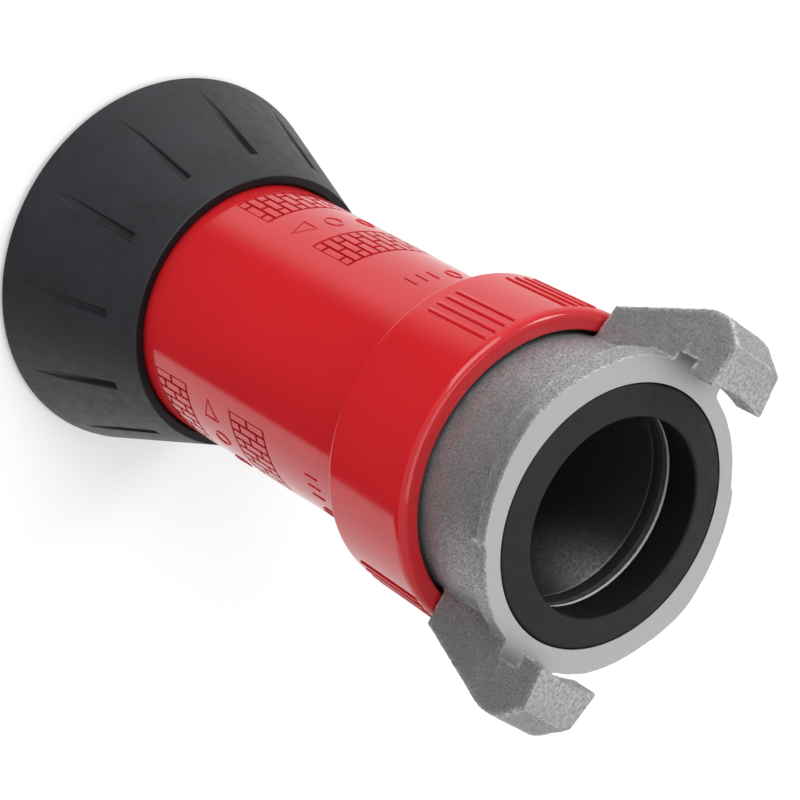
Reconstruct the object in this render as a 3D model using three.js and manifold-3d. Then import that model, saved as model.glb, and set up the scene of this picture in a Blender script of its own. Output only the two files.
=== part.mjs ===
// Fire hose nozzle: a twist-to-set jet and fog nozzle with a two-claw hose coupling.
// Millimetres, +Z up. The nozzle stands on its bumper rim at Z = 0 with the outlet down,
// and the coupling claws point up. The claws lie along the X axis.
import * as THREE from 'three';
import { mergeVertices } from 'three/addons/utils/BufferGeometryUtils.js';
import Module from 'manifold-3d';

const wasm = await Module();
wasm.setup();

// ---- clearances --------------------------------------------------------------------------
const GAP = 0.3;                    // between pieces that rest on or sit in each other
const RUNNING_GAP = 0.5;            // barrel bore over body tube, on the radius
const WELD = 1e-4;                  // vertices closer than this are one vertex
const OVERSHOOT = 2;                // how far a cutter runs past the faces that it opens

// ---- facets round one turn ---------------------------------------------------------------
const SEGMENTS = 40;
const SMALL_SEGMENTS = 20;
const LEDGE_SEGMENTS = 80;
const ROUND_STEPS = 3;              // facets in an edge round
const RING_SECTION_SIDES = 6;
const RING_SEGMENTS = 36;
const CAM_STEPS = 24;

// ---- overall lengths along the axis ------------------------------------------------------
const BUMPER_LENGTH = 41.7;
const BARREL_SHOW = 82.8;           // barrel seen between bumper and collar
const COLLAR_LENGTH = 27.5;
const COUPLING_SHOW = 24;           // coupling body seen between collar and face
const CLAW_REACH = 13;              // claw tips beyond the coupling face

// ---- twist motion ------------------------------------------------------------------------
const TRAVEL = 10;                  // barrel moves forward by this much from fog to off
const TURN = Math.PI;               // while it turns by this much

// ---- barrel ------------------------------------------------------------------------------
const BARREL_RADIUS = 32;           // at its rear end
const BARREL_DRAFT = 0.5;           // larger by this much at the bumper
const BARREL_WALL = 3.2;
const BARREL_WEB = 9;               // solid front wall that carries the throat
const CHAMBER_CONE = 8.3;           // length of the cone behind that wall
const NOSE_SETBACK = 13;            // barrel nose behind the bumper rim
const NOSE_WALL = 3;
const NOSE_CHAMFER = 1.5;
const BEAD_GROOVE_DEPTH = 1.5;
const BEAD_GROOVE_WIDTH = 6;
const BEAD_GROOVE_START = 11;       // behind the nose
const GUIDE_GROOVE_DEPTH = 1.4;
const GUIDE_RING_WIDTH = 3.4;
const GUIDE_SETBACK = 26.4;         // guide ring ahead of the barrel's rear end

// ---- bumper ------------------------------------------------------------------------------
const RIM_RADIUS = 48.4;
const BUMPER_WALL = 2.6;            // over the barrel, at the rear end
const BUMPER_EDGE = 1.2;            // chamfer at the rear end
const RIM_HEIGHT = 1.6;
const RIM_WALL = 4.4;               // from the rim in to the mouth
const MOUTH_DEPTH = 6.5;
const KEEPER_LIP = 1.9;             // how far its lip laps over the teeth ring
const KEEPER_THICKNESS = 2.4;
const FLUTE_COUNT = 12;
const FLUTE_WIDTH = 3.2;
const FLUTE_DEPTH = 1.3;
const FLUTE_SETBACK = 8.7;          // square end, ahead of the bumper's rear end
const FLUTE_END = 7;                // pointed end, above the rim

// ---- fog teeth ---------------------------------------------------------------------------
const TEETH_COUNT = 30;
const TEETH_RING_RISE = 2.4;        // beyond the barrel's front radius
const TOOTH_HEIGHT = 3.8;
const TOOTH_SHARE = 0.45;           // of the pitch, at the root

// ---- throat and baffle -------------------------------------------------------------------
const THROAT_RADIUS = 14.5;
const THROAT_LIP = 1.8;
const THROAT_BODY_RADIUS = 18.7;
const THROAT_FLANGE_RADIUS = 22;
const THROAT_FLANGE = 2.6;
const THROAT_RING_SECTION = 0.65;
const THROAT_EDGE = 1;              // height of its slanted rims
const THROAT_INLET = 4;             // its inlet cone ends this far behind its front
const CONE_STEP = 1;                // flat left round the flange, inside the chamber cone
const BAFFLE_RADIUS = 17;
const BAFFLE_FRONT = 8;             // above the rim
const BAFFLE_LENGTH = 9.3;
const BAFFLE_WALL = 3.3;
const BAFFLE_ROUND = 4;
const BAFFLE_FACE_INSET = 5;        // flat front face, in from the rim
const BAFFLE_BACK_INSET = 1.2;      // rear face, in from the rim
const SHUTOFF_SEAL = 2.6;
const SHUTOFF_SEAL_RADIUS = 16.8;
const SEAL_WASHER = 1.5;
const SEAL_WASHER_RADIUS = 12.5;

// ---- stem and spider ---------------------------------------------------------------------
const STEM_RADIUS = 5;
const SPIGOT_RISE = 1;              // spigot, beyond the stem's radius
const SHOULDER_STEP = 3;            // stem shoulders, beyond the stem's radius
const STEM_SHOULDER = 3.7;
const STEM_TAPER = 2;
const STEM_TIP = 1;
const STEM_TAIL = 3.2;              // beyond the nut
const SCREW_RADIUS = 2.9;
const SCREW_HEAD_RADIUS = 5.4;
const SCREW_HEAD = 2.7;
const SCREW_CHAMFER = 1.2;
const SCREW_LENGTH = 12;
const SPIDER_HUB_WALL = 2.5;
const SPIDER_HUB_LENGTH = 16;
const SPIDER_RIM_LENGTH = 10.7;
const SPIDER_RIM_WALL = 2.4;
const SPIDER_VANES = 3;
const SPIDER_VANE = 2.6;
const NUT_WALL = 2.7;               // from its bore to a flat
const NUT_HEIGHT = 5;
const STEM_WASHER = 1.2;
const STEM_WASHER_RIM = 1.2;        // beyond the nut's flats

// ---- body tube ---------------------------------------------------------------------------
const TUBE_LEAD = 24.3;             // tube's front end behind the bumper
const TUBE_WALL = 6.3;
const INLET_WALL = 3.7;
const INLET_TAPER = 60;
const THREAD_RISE = 0.5;            // beyond the tube's radius
const SHOULDER = 2.7;
const SHOULDER_RISE = 2.9;          // beyond the tube's radius
const SNAP_RING = 1.4;
const SNAP_RING_DEPTH = 1.1;
const SNAP_RING_WIDTH = 2;
const SNAP_RING_OPEN = Math.PI / 5;
const BODY_RING_SECTION = 1.2;
const BODY_RING_FLOOR = 2.5;        // groove depth
const BODY_RING_SETBACKS = [22, 30];  // behind the tube's front end
const PIN_RADIUS = 2.2;
const PIN_SETBACK = 5.7;            // ahead of the barrel's rear end
const CAM_DEPTH = 2.3;
const CAM_SPLAY = 0.4;              // cam groove wider than the pin, each side

// ---- collar ------------------------------------------------------------------------------
const COLLAR_STEP = 7;              // collar's rear radius beyond the barrel's
const COLLAR_DRAFT = 0.6;           // smaller by this much at its front
const COLLAR_LIP = 1.5;
const COLLAR_REAR_ROUND = 3;
const COLLAR_FRONT_ROUND = 1;
const COLLAR_CHAMFER = 0.8;
const WEB = 3.7;
const SKIRT_POCKET = 6.3;
const WIPER = 2;
const WIPER_DEPTH = 2;
const RIB_GROUPS = [-125.3, -158.4, 168.5, 54.7, 21.6, -11.5];  // degrees round the collar
const RIBS_IN_GROUP = 4;
const RIB_PITCH = 4;                // degrees
const RIB_WIDTH = 0.9;
const RIB_HEIGHT = 0.5;
const RIB_FRONT = 4.3;              // behind the collar's front edge
const RIB_LENGTH = 21;

// ---- coupling ----------------------------------------------------------------------------
const COUPLING_WALL = 3.9;
const SEAL_WALL = 2.3;              // cast wall that is left round the seal, with its gap
const SEAL_WIDTH = 7.5;             // at the face
const SEAL_ROOT_WIDTH = 5.8;
const SEAL_DEPTH = 9.8;
const SEAL_PROUD = 1.1;
const LIP = 2.4;
const GASKET = 1.8;
const LOCK_SCREW_RADIUS = 2;
const LOCK_SCREW_LENGTH = 3.2;
const LOCK_SCREW_BELOW_FACE = 17.5;
const CLAW_RISE = 16.4;             // radii of the claw, beyond the coupling body's radius
const CLAW_FOOT_RISE = 7.4;
const CLAW_TIP_RISE = 11.2;
const CLAW_LIP_RISE = 2.5;
const CLAW_SLOT_RISE = 5.8;
const CLAW_SHOULDER = 6.5;          // full radius this far beyond the face
const CLAW_SLOT = 6;
const CLAW_WIDTH = 18.4;            // at the lip
const CLAW_TOP_WIDTH = 13.6;        // at the full radius
const LEDGE_THIN = 3;
const LEDGE_THICK = 8;
const LEDGE_FILLET = 2;
const LEDGE_FLAT_CLIMB = 0.5;       // share of the climb before the notch
const LEDGE_NOTCH = 58;             // degrees past a claw's middle
const ROOT = 1;                     // how deep a claw or ledge starts inside the body's wall
// Half turn of the face's outline: degrees past a claw's middle, and how far past the body.
const LEDGE = [[0, 3], [16, 2.2], [LEDGE_NOTCH - 2, 1.8], [LEDGE_NOTCH, 2.6], [80, 3.3], [96, 4.5],
  [104, 5.3], [116, 4.2], [128, 3.8], [150, 4.3], [180, 3]];

// ---- heights that follow from the sizes above -------------------------------------------
const zCollarFront = BUMPER_LENGTH + BARREL_SHOW;
const zCollarRear = zCollarFront + COLLAR_LENGTH;
const zFace = zCollarRear + COUPLING_SHOW;
const zTips = zFace + CLAW_REACH;
const zWebRear = zCollarRear - SKIRT_POCKET;
const zWebFront = zWebRear - WEB;
const zShoulderRear = zWebFront - GAP;
const zShoulderFront = zShoulderRear - SHOULDER;
const zBarrelRear = zShoulderFront - GAP;
const zSealSeat = zFace - SEAL_DEPTH - GAP;
const zLipFront = zSealSeat - LIP;
const zGasketRear = zLipFront - GAP;
const zTubeRear = zGasketRear - GASKET - GAP;
const zTubeFront = BUMPER_LENGTH + TUBE_LEAD;
const zBaffleRear = BAFFLE_FRONT + BAFFLE_LENGTH;
const zShutoffFront = zBaffleRear + GAP;
const zShutoffRear = zShutoffFront + SHUTOFF_SEAL;
const zSealWasher = zShutoffRear + GAP;
const zStemShoulder = zSealWasher + SEAL_WASHER + GAP;
const zThroatFront = zShutoffRear + GAP + TRAVEL;
const zBarrelWeb = zThroatFront + BARREL_WEB + GAP;
const zSnapRing = zTubeFront + SNAP_RING_DEPTH + GAP;
const zSpiderRim = zSnapRing + SNAP_RING + GAP;
const zSpiderSeat = zSpiderRim + SPIDER_RIM_LENGTH + GAP;
const zHubRear = zSpiderSeat;
const zHubFront = zHubRear - SPIDER_HUB_LENGTH;
const zStemWasher = zHubRear + GAP;
const zNut = zStemWasher + STEM_WASHER + GAP;
const zStemEnd = zNut + NUT_HEIGHT + STEM_TAIL;
const zPin = zBarrelRear - PIN_SETBACK;
const zGuideRing = zBarrelRear - GUIDE_SETBACK;

const barrelBoreRadius = BARREL_RADIUS - BARREL_WALL;
const tubeRadius = barrelBoreRadius - RUNNING_GAP;
const barrelFrontRadius = BARREL_RADIUS + BARREL_DRAFT;
const barrelAtCollar = BARREL_RADIUS + BARREL_DRAFT / 2;
const beadRadius = barrelFrontRadius - BEAD_GROOVE_DEPTH;
const noseBoreRadius = barrelFrontRadius - NOSE_WALL;
const flareEndRadius = barrelFrontRadius + BUMPER_WALL;
const teethRingRadius = barrelFrontRadius + TEETH_RING_RISE;
const tubeBoreRadius = tubeRadius - TUBE_WALL;
const inletBoreRadius = tubeRadius - INLET_WALL;
const threadRadius = tubeRadius + THREAD_RISE;
const socketRadius = threadRadius + GAP;
const couplingRadius = socketRadius + COUPLING_WALL;
const sealRadius = couplingRadius - SEAL_WALL;
const sealRootRadius = sealRadius - SEAL_ROOT_WIDTH;
const clawRadius = couplingRadius + CLAW_RISE;
const clawLipRadius = couplingRadius + CLAW_LIP_RISE;
const clawSlotRadius = couplingRadius + CLAW_SLOT_RISE;
const skirtBoreRadius = couplingRadius + GAP;
const collarRadius = BARREL_RADIUS + COLLAR_STEP;
const spiderRimRadius = inletBoreRadius - GAP;
const stemBoreRadius = STEM_RADIUS + GAP;
const spigotRadius = STEM_RADIUS + SPIGOT_RISE;
const stemShoulderRadius = STEM_RADIUS + SHOULDER_STEP;
const nutFlatRadius = stemBoreRadius + NUT_WALL;
const throatBoreRadius = THROAT_BODY_RADIUS + GAP;
const coneFootRadius = THROAT_FLANGE_RADIUS + CONE_STEP;
const throatRingRadius = (throatBoreRadius + coneFootRadius) / 2;

// ---- finishes ----------------------------------------------------------------------------
const finish = (color, roughness, metalness) =>
  new THREE.MeshStandardMaterial({ color, roughness, metalness });
const RED_PLASTIC = finish(0xc61e24, 0.16, 0);
const BLACK_NYLON = finish(0x1b1b1e, 0.45, 0);
const RUBBER = finish(0x36373b, 0.75, 0);
const CAST_ALUMINIUM = finish(0x9c9ca0, 0.5, 1);
const STAINLESS = finish(0xb9bbbe, 0.3, 1);
const BRASS = finish(0xb08d45, 0.35, 1);
const FIBRE = finish(0x8a3f2d, 0.9, 0);

// ---- geometry helpers --------------------------------------------------------------------

// A solid of revolution about Z from a closed outline of [radius, z] points.
function turned(outline, segments = SEGMENTS) {
  const points = outline.map(([r, z]) => new THREE.Vector2(r, z));
  if (THREE.ShapeUtils.area(points) < 0) points.reverse();
  points.push(points[0].clone());
  return new THREE.LatheGeometry(points, segments).rotateX(Math.PI / 2);
}

// A ring with a round section, such as an O-ring.
function roundRing(radius, z, section) {
  return new THREE.TorusGeometry(radius, section, RING_SECTION_SIDES, RING_SEGMENTS).translate(0, 0, z);
}

// Points of a quarter round from one corner tangent to the next, for a turned outline.
function quarter(centreR, centreZ, radius, fromAngle) {
  return Array.from({ length: ROUND_STEPS + 1 }, (_, i) => {
    const angle = fromAngle + (i / ROUND_STEPS) * Math.PI / 2;
    return [centreR + radius * Math.cos(angle), centreZ + radius * Math.sin(angle)];
  });
}

// Moves every vertex of a turned solid: move(r, angle, z) gives the new [r, z].
function reshape(geometry, move) {
  const position = geometry.getAttribute('position');
  for (let i = 0; i < position.count; i += 1) {
    const x = position.getX(i);
    const y = position.getY(i);
    const angle = Math.atan2(y, x);
    const [r, z] = move(Math.hypot(x, y), angle, position.getZ(i));
    position.setXYZ(i, r * Math.cos(angle), r * Math.sin(angle), z);
  }
  return geometry;
}

// A plate with an outline in XY, from z upwards.
function plate(shape, z, thickness, curveSegments = SMALL_SEGMENTS) {
  return new THREE.ExtrudeGeometry(shape, { depth: thickness, bevelEnabled: false, curveSegments })
    .translate(0, 0, z);
}

function box(sizeX, sizeY, sizeZ, x, y, z) {
  return new THREE.BoxGeometry(sizeX, sizeY, sizeZ).translate(x, y, z);
}

// A cylinder that lies along X, from one radius of the nozzle to another.
function radialPin(radius, fromR, toR, z, angle) {
  return new THREE.CylinderGeometry(radius, radius, toR - fromR, SMALL_SEGMENTS)
    .rotateZ(Math.PI / 2).translate((fromR + toR) / 2, 0, z).rotateZ(angle);
}

function toSolid(geometry) {
  const bare = new THREE.BufferGeometry();
  bare.setAttribute('position', geometry.getAttribute('position').clone());
  bare.setIndex(geometry.index ? geometry.index.clone()
    : [...Array(geometry.getAttribute('position').count).keys()]);
  const welded = mergeVertices(bare, WELD);
  const triangles = [];
  for (let i = 0; i < welded.index.count; i += 3) {
    const [a, b, c] = [0, 1, 2].map((k) => welded.index.getX(i + k));
    if (a !== b && b !== c && c !== a) triangles.push(a, b, c);
  }
  return new wasm.Manifold(new wasm.Mesh({
    numProp: 3,
    vertProperties: new Float32Array(welded.getAttribute('position').array),
    triVerts: new Uint32Array(triangles),
  }));
}

function toGeometry(solid) {
  const mesh = solid.getMesh();
  const geometry = new THREE.BufferGeometry();
  geometry.setAttribute('position', new THREE.BufferAttribute(new Float32Array(mesh.vertProperties), 3));
  geometry.setIndex(new THREE.BufferAttribute(new Uint32Array(mesh.triVerts), 1));
  geometry.computeVertexNormals();
  return geometry;
}

const join = (base, extras) => extras.reduce((sum, extra) => sum.add(toSolid(extra)), base);
const cut = (base, cutters) => cutters.reduce((rest, cutter) => rest.subtract(toSolid(cutter)), base);

// A closed bar of rectangular section that winds round the tube from one pin place to the other.
function helixBar(innerR, outerR, halfWidth, startAngle) {
  const lead = Math.asin(halfWidth / outerR);
  const positions = [];
  const index = [];
  for (let i = 0; i <= CAM_STEPS; i += 1) {
    const along = -lead + (i / CAM_STEPS) * (TURN + 2 * lead);
    const angle = startAngle - along;
    const z = zPin - Math.min(Math.max(along / TURN, 0), 1) * TRAVEL;
    [[innerR, -1], [outerR, -1], [outerR, 1], [innerR, 1]].forEach(([r, side]) => {
      positions.push(r * Math.cos(angle), r * Math.sin(angle), z + side * halfWidth);
    });
  }
  for (let i = 0; i < CAM_STEPS; i += 1) {
    for (let k = 0; k < 4; k += 1) {
      const a = 4 * i + k;
      const b = 4 * i + (k + 1) % 4;
      index.push(a, b, a + 4, b, b + 4, a + 4);
    }
  }
  const last = 4 * CAM_STEPS;
  index.push(0, 2, 1, 0, 3, 2, last, last + 1, last + 2, last, last + 2, last + 3);
  const geometry = new THREE.BufferGeometry();
  geometry.setAttribute('position', new THREE.Float32BufferAttribute(positions, 3));
  geometry.setIndex(index);
  return geometry;
}

// ---- the two-claw coupling ---------------------------------------------------------------

// Straight-line value of the ledge table at so many degrees past a claw's middle.
function ledgeRise(degrees) {
  const next = LEDGE.findIndex(([angle]) => angle > degrees);
  const [angleA, riseA] = LEDGE[next - 1];
  const [angleB, riseB] = LEDGE[next];
  return riseA + (riseB - riseA) * (degrees - angleA) / (angleB - angleA);
}

// Degrees past the nearest claw's middle, clockwise as seen from the hose.
function pastClaw(angle) {
  const degrees = -THREE.MathUtils.radToDeg(angle);
  return ((degrees % 180) + 180) % 180;
}

// The spiral ledge that the other coupling's claws hook under: thin at its notch, thick at its end.
function ledge() {
  const inner = couplingRadius - ROOT;
  const outer = couplingRadius + ROOT;
  const zBlank = zFace - LEDGE_THIN;
  const blank = turned([[inner, zBlank], [outer, zBlank], [outer, zFace], [inner, zFace]], LEDGE_SEGMENTS);
  return reshape(blank, (r, angle, z) => {
    const past = pastClaw(angle);
    const climb = past < LEDGE_NOTCH ? LEDGE_FLAT_CLIMB : (past - LEDGE_NOTCH) / (180 - LEDGE_NOTCH);
    const thickness = LEDGE_THIN + (LEDGE_THICK - LEDGE_THIN) * climb;
    const newR = r > couplingRadius ? couplingRadius + ledgeRise(past) : r;
    if (z > zFace - LEDGE_THIN / 2) return [newR, zFace];
    const drop = r > couplingRadius ? thickness : thickness + LEDGE_FILLET;
    return [newR, zFace - drop];
  });
}

// One claw on +X: a foot on the body, an arm past the face and a hooked lip.
function claw() {
  const inner = couplingRadius - ROOT;
  const side = new THREE.Shape([
    [inner, zCollarRear + GAP], [couplingRadius + CLAW_FOOT_RISE, zCollarRear + GAP], [clawRadius, zFace],
    [clawRadius, zFace + CLAW_SHOULDER], [couplingRadius + CLAW_TIP_RISE, zTips], [inner, zTips],
  ].map(([r, z]) => new THREE.Vector2(r, z)));
  const blank = new THREE.ExtrudeGeometry(side, { depth: CLAW_WIDTH, bevelEnabled: false })
    .translate(0, 0, -CLAW_WIDTH / 2).rotateX(Math.PI / 2);
  const position = blank.getAttribute('position');
  const taper = 1 - CLAW_TOP_WIDTH / CLAW_WIDTH;
  for (let i = 0; i < position.count; i += 1) {
    const rise = Math.max(0, position.getX(i) - clawLipRadius) / (clawRadius - clawLipRadius);
    position.setY(i, position.getY(i) * (1 - taper * rise));
  }
  return cut(toSolid(blank), [
    new THREE.CylinderGeometry(clawSlotRadius, clawSlotRadius, CLAW_SLOT, LEDGE_SEGMENTS)
      .rotateX(Math.PI / 2).translate(0, 0, zFace + CLAW_SLOT / 2),
    new THREE.CylinderGeometry(clawLipRadius, clawLipRadius, CLAW_REACH, LEDGE_SEGMENTS)
      .rotateX(Math.PI / 2).translate(0, 0, zFace + CLAW_SLOT / 2 + CLAW_REACH / 2),
  ]);
}

function couplingHead() {
  const zSkirt = zWebRear + GAP;
  const pocket = sealRadius + GAP;
  const lipBore = sealRootRadius + GAP;
  const core = toSolid(turned([
    [couplingRadius, zSkirt], [couplingRadius, zFace], [pocket, zFace], [pocket, zSealSeat],
    [lipBore, zSealSeat], [lipBore, zLipFront], [socketRadius, zLipFront], [socketRadius, zSkirt],
  ]));
  const oneClaw = claw();
  const cast = join(core, [ledge()]).add(oneClaw).add(oneClaw.rotate([0, 0, 180]));
  const screwHole = radialPin(LOCK_SCREW_RADIUS + GAP, socketRadius - OVERSHOOT, couplingRadius + OVERSHOOT,
    zFace - LOCK_SCREW_BELOW_FACE, Math.PI / 2);
  return toGeometry(cut(cast, [screwHole]));
}

const couplingSeal = () => turned([
  [sealRadius, zSealSeat + GAP], [sealRadius, zFace], [sealRadius - SEAL_WIDTH, zFace + SEAL_PROUD],
  [sealRootRadius, zSealSeat + GAP],
]);

const inletGasket = () => turned([
  [threadRadius - GAP, zGasketRear - GASKET], [threadRadius - GAP, zGasketRear],
  [inletBoreRadius, zGasketRear], [inletBoreRadius, zGasketRear - GASKET],
]);

const lockScrew = () => radialPin(LOCK_SCREW_RADIUS, socketRadius,
  socketRadius + LOCK_SCREW_LENGTH, zFace - LOCK_SCREW_BELOW_FACE, Math.PI / 2);

// ---- the collar and what it holds --------------------------------------------------------

function collar() {
  const lip = barrelAtCollar + GAP;
  const grooveFloor = lip + WIPER_DEPTH;
  const zGroove = zCollarFront + COLLAR_LIP;
  const shell = toSolid(turned([
    [lip, zCollarFront],
    ...quarter(collarRadius - COLLAR_DRAFT - COLLAR_FRONT_ROUND, zCollarFront + COLLAR_FRONT_ROUND,
      COLLAR_FRONT_ROUND, -Math.PI / 2),
    [collarRadius, zCollarFront + COLLAR_REAR_ROUND],
    ...quarter(collarRadius - COLLAR_REAR_ROUND, zCollarRear - COLLAR_REAR_ROUND,
      COLLAR_REAR_ROUND, 0),
    [skirtBoreRadius + COLLAR_CHAMFER, zCollarRear],
    [skirtBoreRadius, zCollarRear - COLLAR_CHAMFER],
    [skirtBoreRadius, zWebRear], [socketRadius, zWebRear], [socketRadius, zWebFront],
    [skirtBoreRadius, zWebFront], [skirtBoreRadius, zGroove + WIPER + 2 * GAP],
    [grooveFloor, zGroove + WIPER + 2 * GAP], [grooveFloor, zGroove], [lip, zGroove],
  ]));
  const ribs = RIB_GROUPS.flatMap((middle) => Array.from({ length: RIBS_IN_GROUP }, (_, i) => {
    const degrees = middle + (i - (RIBS_IN_GROUP - 1) / 2) * RIB_PITCH;
    return box(2 * RIB_HEIGHT, RIB_WIDTH, RIB_LENGTH, collarRadius, 0,
      zCollarFront + RIB_FRONT + RIB_LENGTH / 2).rotateZ(THREE.MathUtils.degToRad(degrees));
  }));
  return toGeometry(join(shell, ribs));
}

function wiperRing() {
  const inner = barrelAtCollar + GAP / 2;
  const zFront = zCollarFront + COLLAR_LIP + GAP;
  const outer = barrelAtCollar + WIPER_DEPTH;
  return turned([[inner, zFront], [outer, zFront], [outer, zFront + WIPER], [inner, zFront + WIPER]]);
}

function bodyTube() {
  const grooveHalf = BODY_RING_SECTION + GAP / 2;
  const ringGrooves = BODY_RING_SETBACKS.flatMap((setback) => {
    const z = zTubeFront + setback;
    return [[tubeRadius, z - grooveHalf], [tubeRadius - BODY_RING_FLOOR, z - grooveHalf],
      [tubeRadius - BODY_RING_FLOOR, z + grooveHalf], [tubeRadius, z + grooveHalf]];
  });
  const snapFloor = inletBoreRadius + SNAP_RING_DEPTH;
  const shoulderRadius = tubeRadius + SHOULDER_RISE;
  const tube = toSolid(turned([
    [tubeRadius, zTubeFront], ...ringGrooves,
    [tubeRadius, zShoulderFront], [shoulderRadius, zShoulderFront], [shoulderRadius, zShoulderRear],
    [threadRadius, zShoulderRear], [threadRadius, zTubeRear], [inletBoreRadius, zTubeRear],
    [tubeBoreRadius, zTubeRear - INLET_TAPER], [tubeBoreRadius, zSpiderSeat],
    [inletBoreRadius, zSpiderSeat], [inletBoreRadius, zSnapRing + SNAP_RING + GAP / 2],
    [snapFloor, zSnapRing + SNAP_RING + GAP / 2], [snapFloor, zSnapRing - GAP / 2],
    [inletBoreRadius, zSnapRing - GAP / 2], [inletBoreRadius, zTubeFront],
  ]));
  const floor = tubeRadius - CAM_DEPTH;
  const cams = [0, Math.PI].map((angle) =>
    helixBar(floor, tubeRadius + OVERSHOOT, PIN_RADIUS + CAM_SPLAY, angle));
  return toGeometry(cut(tube, cams));
}

const bodyRing = (setback) => roundRing(tubeRadius - BODY_RING_FLOOR + BODY_RING_SECTION + GAP,
  zTubeFront + setback, BODY_RING_SECTION);

// ---- the stem, its spider and the baffle -------------------------------------------------

function spider() {
  const rimInner = spiderRimRadius - SPIDER_RIM_WALL;
  const rim = toSolid(turned([[rimInner, zSpiderRim], [spiderRimRadius, zSpiderRim],
    [spiderRimRadius, zSpiderSeat - GAP], [rimInner, zSpiderSeat - GAP]]));
  const hubRadius = stemBoreRadius + SPIDER_HUB_WALL;
  const hub = turned([[stemBoreRadius, zHubFront], [hubRadius, zHubFront],
    [hubRadius, zHubRear], [stemBoreRadius, zHubRear]], SMALL_SEGMENTS);
  const vaneFrom = (stemBoreRadius + hubRadius) / 2;
  const vaneTo = spiderRimRadius - SPIDER_RIM_WALL / 2;
  const vanes = Array.from({ length: SPIDER_VANES }, (_, i) =>
    box(vaneTo - vaneFrom, SPIDER_VANE, SPIDER_RIM_LENGTH - GAP, (vaneFrom + vaneTo) / 2, 0,
      (zSpiderRim + zSpiderSeat - GAP) / 2).rotateZ((2 * Math.PI * i) / SPIDER_VANES + Math.PI / 2));
  return toGeometry(join(rim, [hub, ...vanes]));
}

function snapRing() {
  const outer = inletBoreRadius + SNAP_RING_DEPTH - GAP;
  const half = SNAP_RING_OPEN / 2;
  const shape = new THREE.Shape();
  shape.absarc(0, 0, outer, half, 2 * Math.PI - half, false);
  shape.absarc(0, 0, outer - SNAP_RING_WIDTH, 2 * Math.PI - half, half, true);
  return plate(shape, zSnapRing, SNAP_RING);
}

function stem() {
  const spigotFront = BAFFLE_FRONT + BAFFLE_WALL + GAP;
  const hole = SCREW_RADIUS + GAP;
  const holeEnd = BAFFLE_FRONT + SCREW_LENGTH + GAP;
  const zNeckFront = zStemShoulder + STEM_SHOULDER;
  const zNeckRear = zHubFront - GAP - STEM_SHOULDER;
  return turned([
    [hole, spigotFront], [spigotRadius, spigotFront], [spigotRadius, zStemShoulder],
    [stemShoulderRadius, zStemShoulder], [stemShoulderRadius, zNeckFront],
    [STEM_RADIUS, zNeckFront + STEM_TAPER], [STEM_RADIUS, zNeckRear - STEM_TAPER],
    [stemShoulderRadius, zNeckRear], [stemShoulderRadius, zHubFront - GAP],
    [STEM_RADIUS, zHubFront - GAP], [STEM_RADIUS, zStemEnd - STEM_TIP], [STEM_RADIUS - STEM_TIP, zStemEnd],
    [0, zStemEnd], [0, holeEnd], [hole, holeEnd],
  ], SMALL_SEGMENTS);
}

function stemNut() {
  const corner = nutFlatRadius / Math.cos(Math.PI / 6);
  const shape = new THREE.Shape(Array.from({ length: 6 }, (_, i) =>
    new THREE.Vector2(corner * Math.cos(i * Math.PI / 3), corner * Math.sin(i * Math.PI / 3))));
  const hole = new THREE.Path();
  hole.absarc(0, 0, stemBoreRadius, 0, 2 * Math.PI, true);
  shape.holes.push(hole);
  return plate(shape, zNut, NUT_HEIGHT);
}

const washer = (inner, outer, z, thickness) => turned(
  [[inner, z], [outer, z], [outer, z + thickness], [inner, z + thickness]], SMALL_SEGMENTS);

function baffle() {
  const bore = spigotRadius + GAP;
  const hole = SCREW_RADIUS + GAP;
  const floor = BAFFLE_FRONT + BAFFLE_WALL;
  return turned([
    [hole, BAFFLE_FRONT], [BAFFLE_RADIUS - BAFFLE_FACE_INSET, BAFFLE_FRONT],
    ...quarter(BAFFLE_RADIUS - BAFFLE_ROUND, BAFFLE_FRONT + BAFFLE_ROUND, BAFFLE_ROUND, -Math.PI / 2),
    [BAFFLE_RADIUS, BAFFLE_FRONT + BAFFLE_LENGTH / 2], [BAFFLE_RADIUS - BAFFLE_BACK_INSET, zBaffleRear],
    [bore, zBaffleRear], [bore, floor], [hole, floor],
  ], SMALL_SEGMENTS);
}

function baffleScrew() {
  const zHead = BAFFLE_FRONT - GAP;
  const zFront = zHead - SCREW_HEAD;
  return turned([
    [0, zFront], [SCREW_HEAD_RADIUS - SCREW_CHAMFER, zFront],
    [SCREW_HEAD_RADIUS, zFront + SCREW_CHAMFER], [SCREW_HEAD_RADIUS, zHead],
    [SCREW_RADIUS, zHead], [SCREW_RADIUS, BAFFLE_FRONT + SCREW_LENGTH], [0, BAFFLE_FRONT + SCREW_LENGTH],
  ], SMALL_SEGMENTS);
}

// ---- the barrel and what turns with it ---------------------------------------------------

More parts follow.
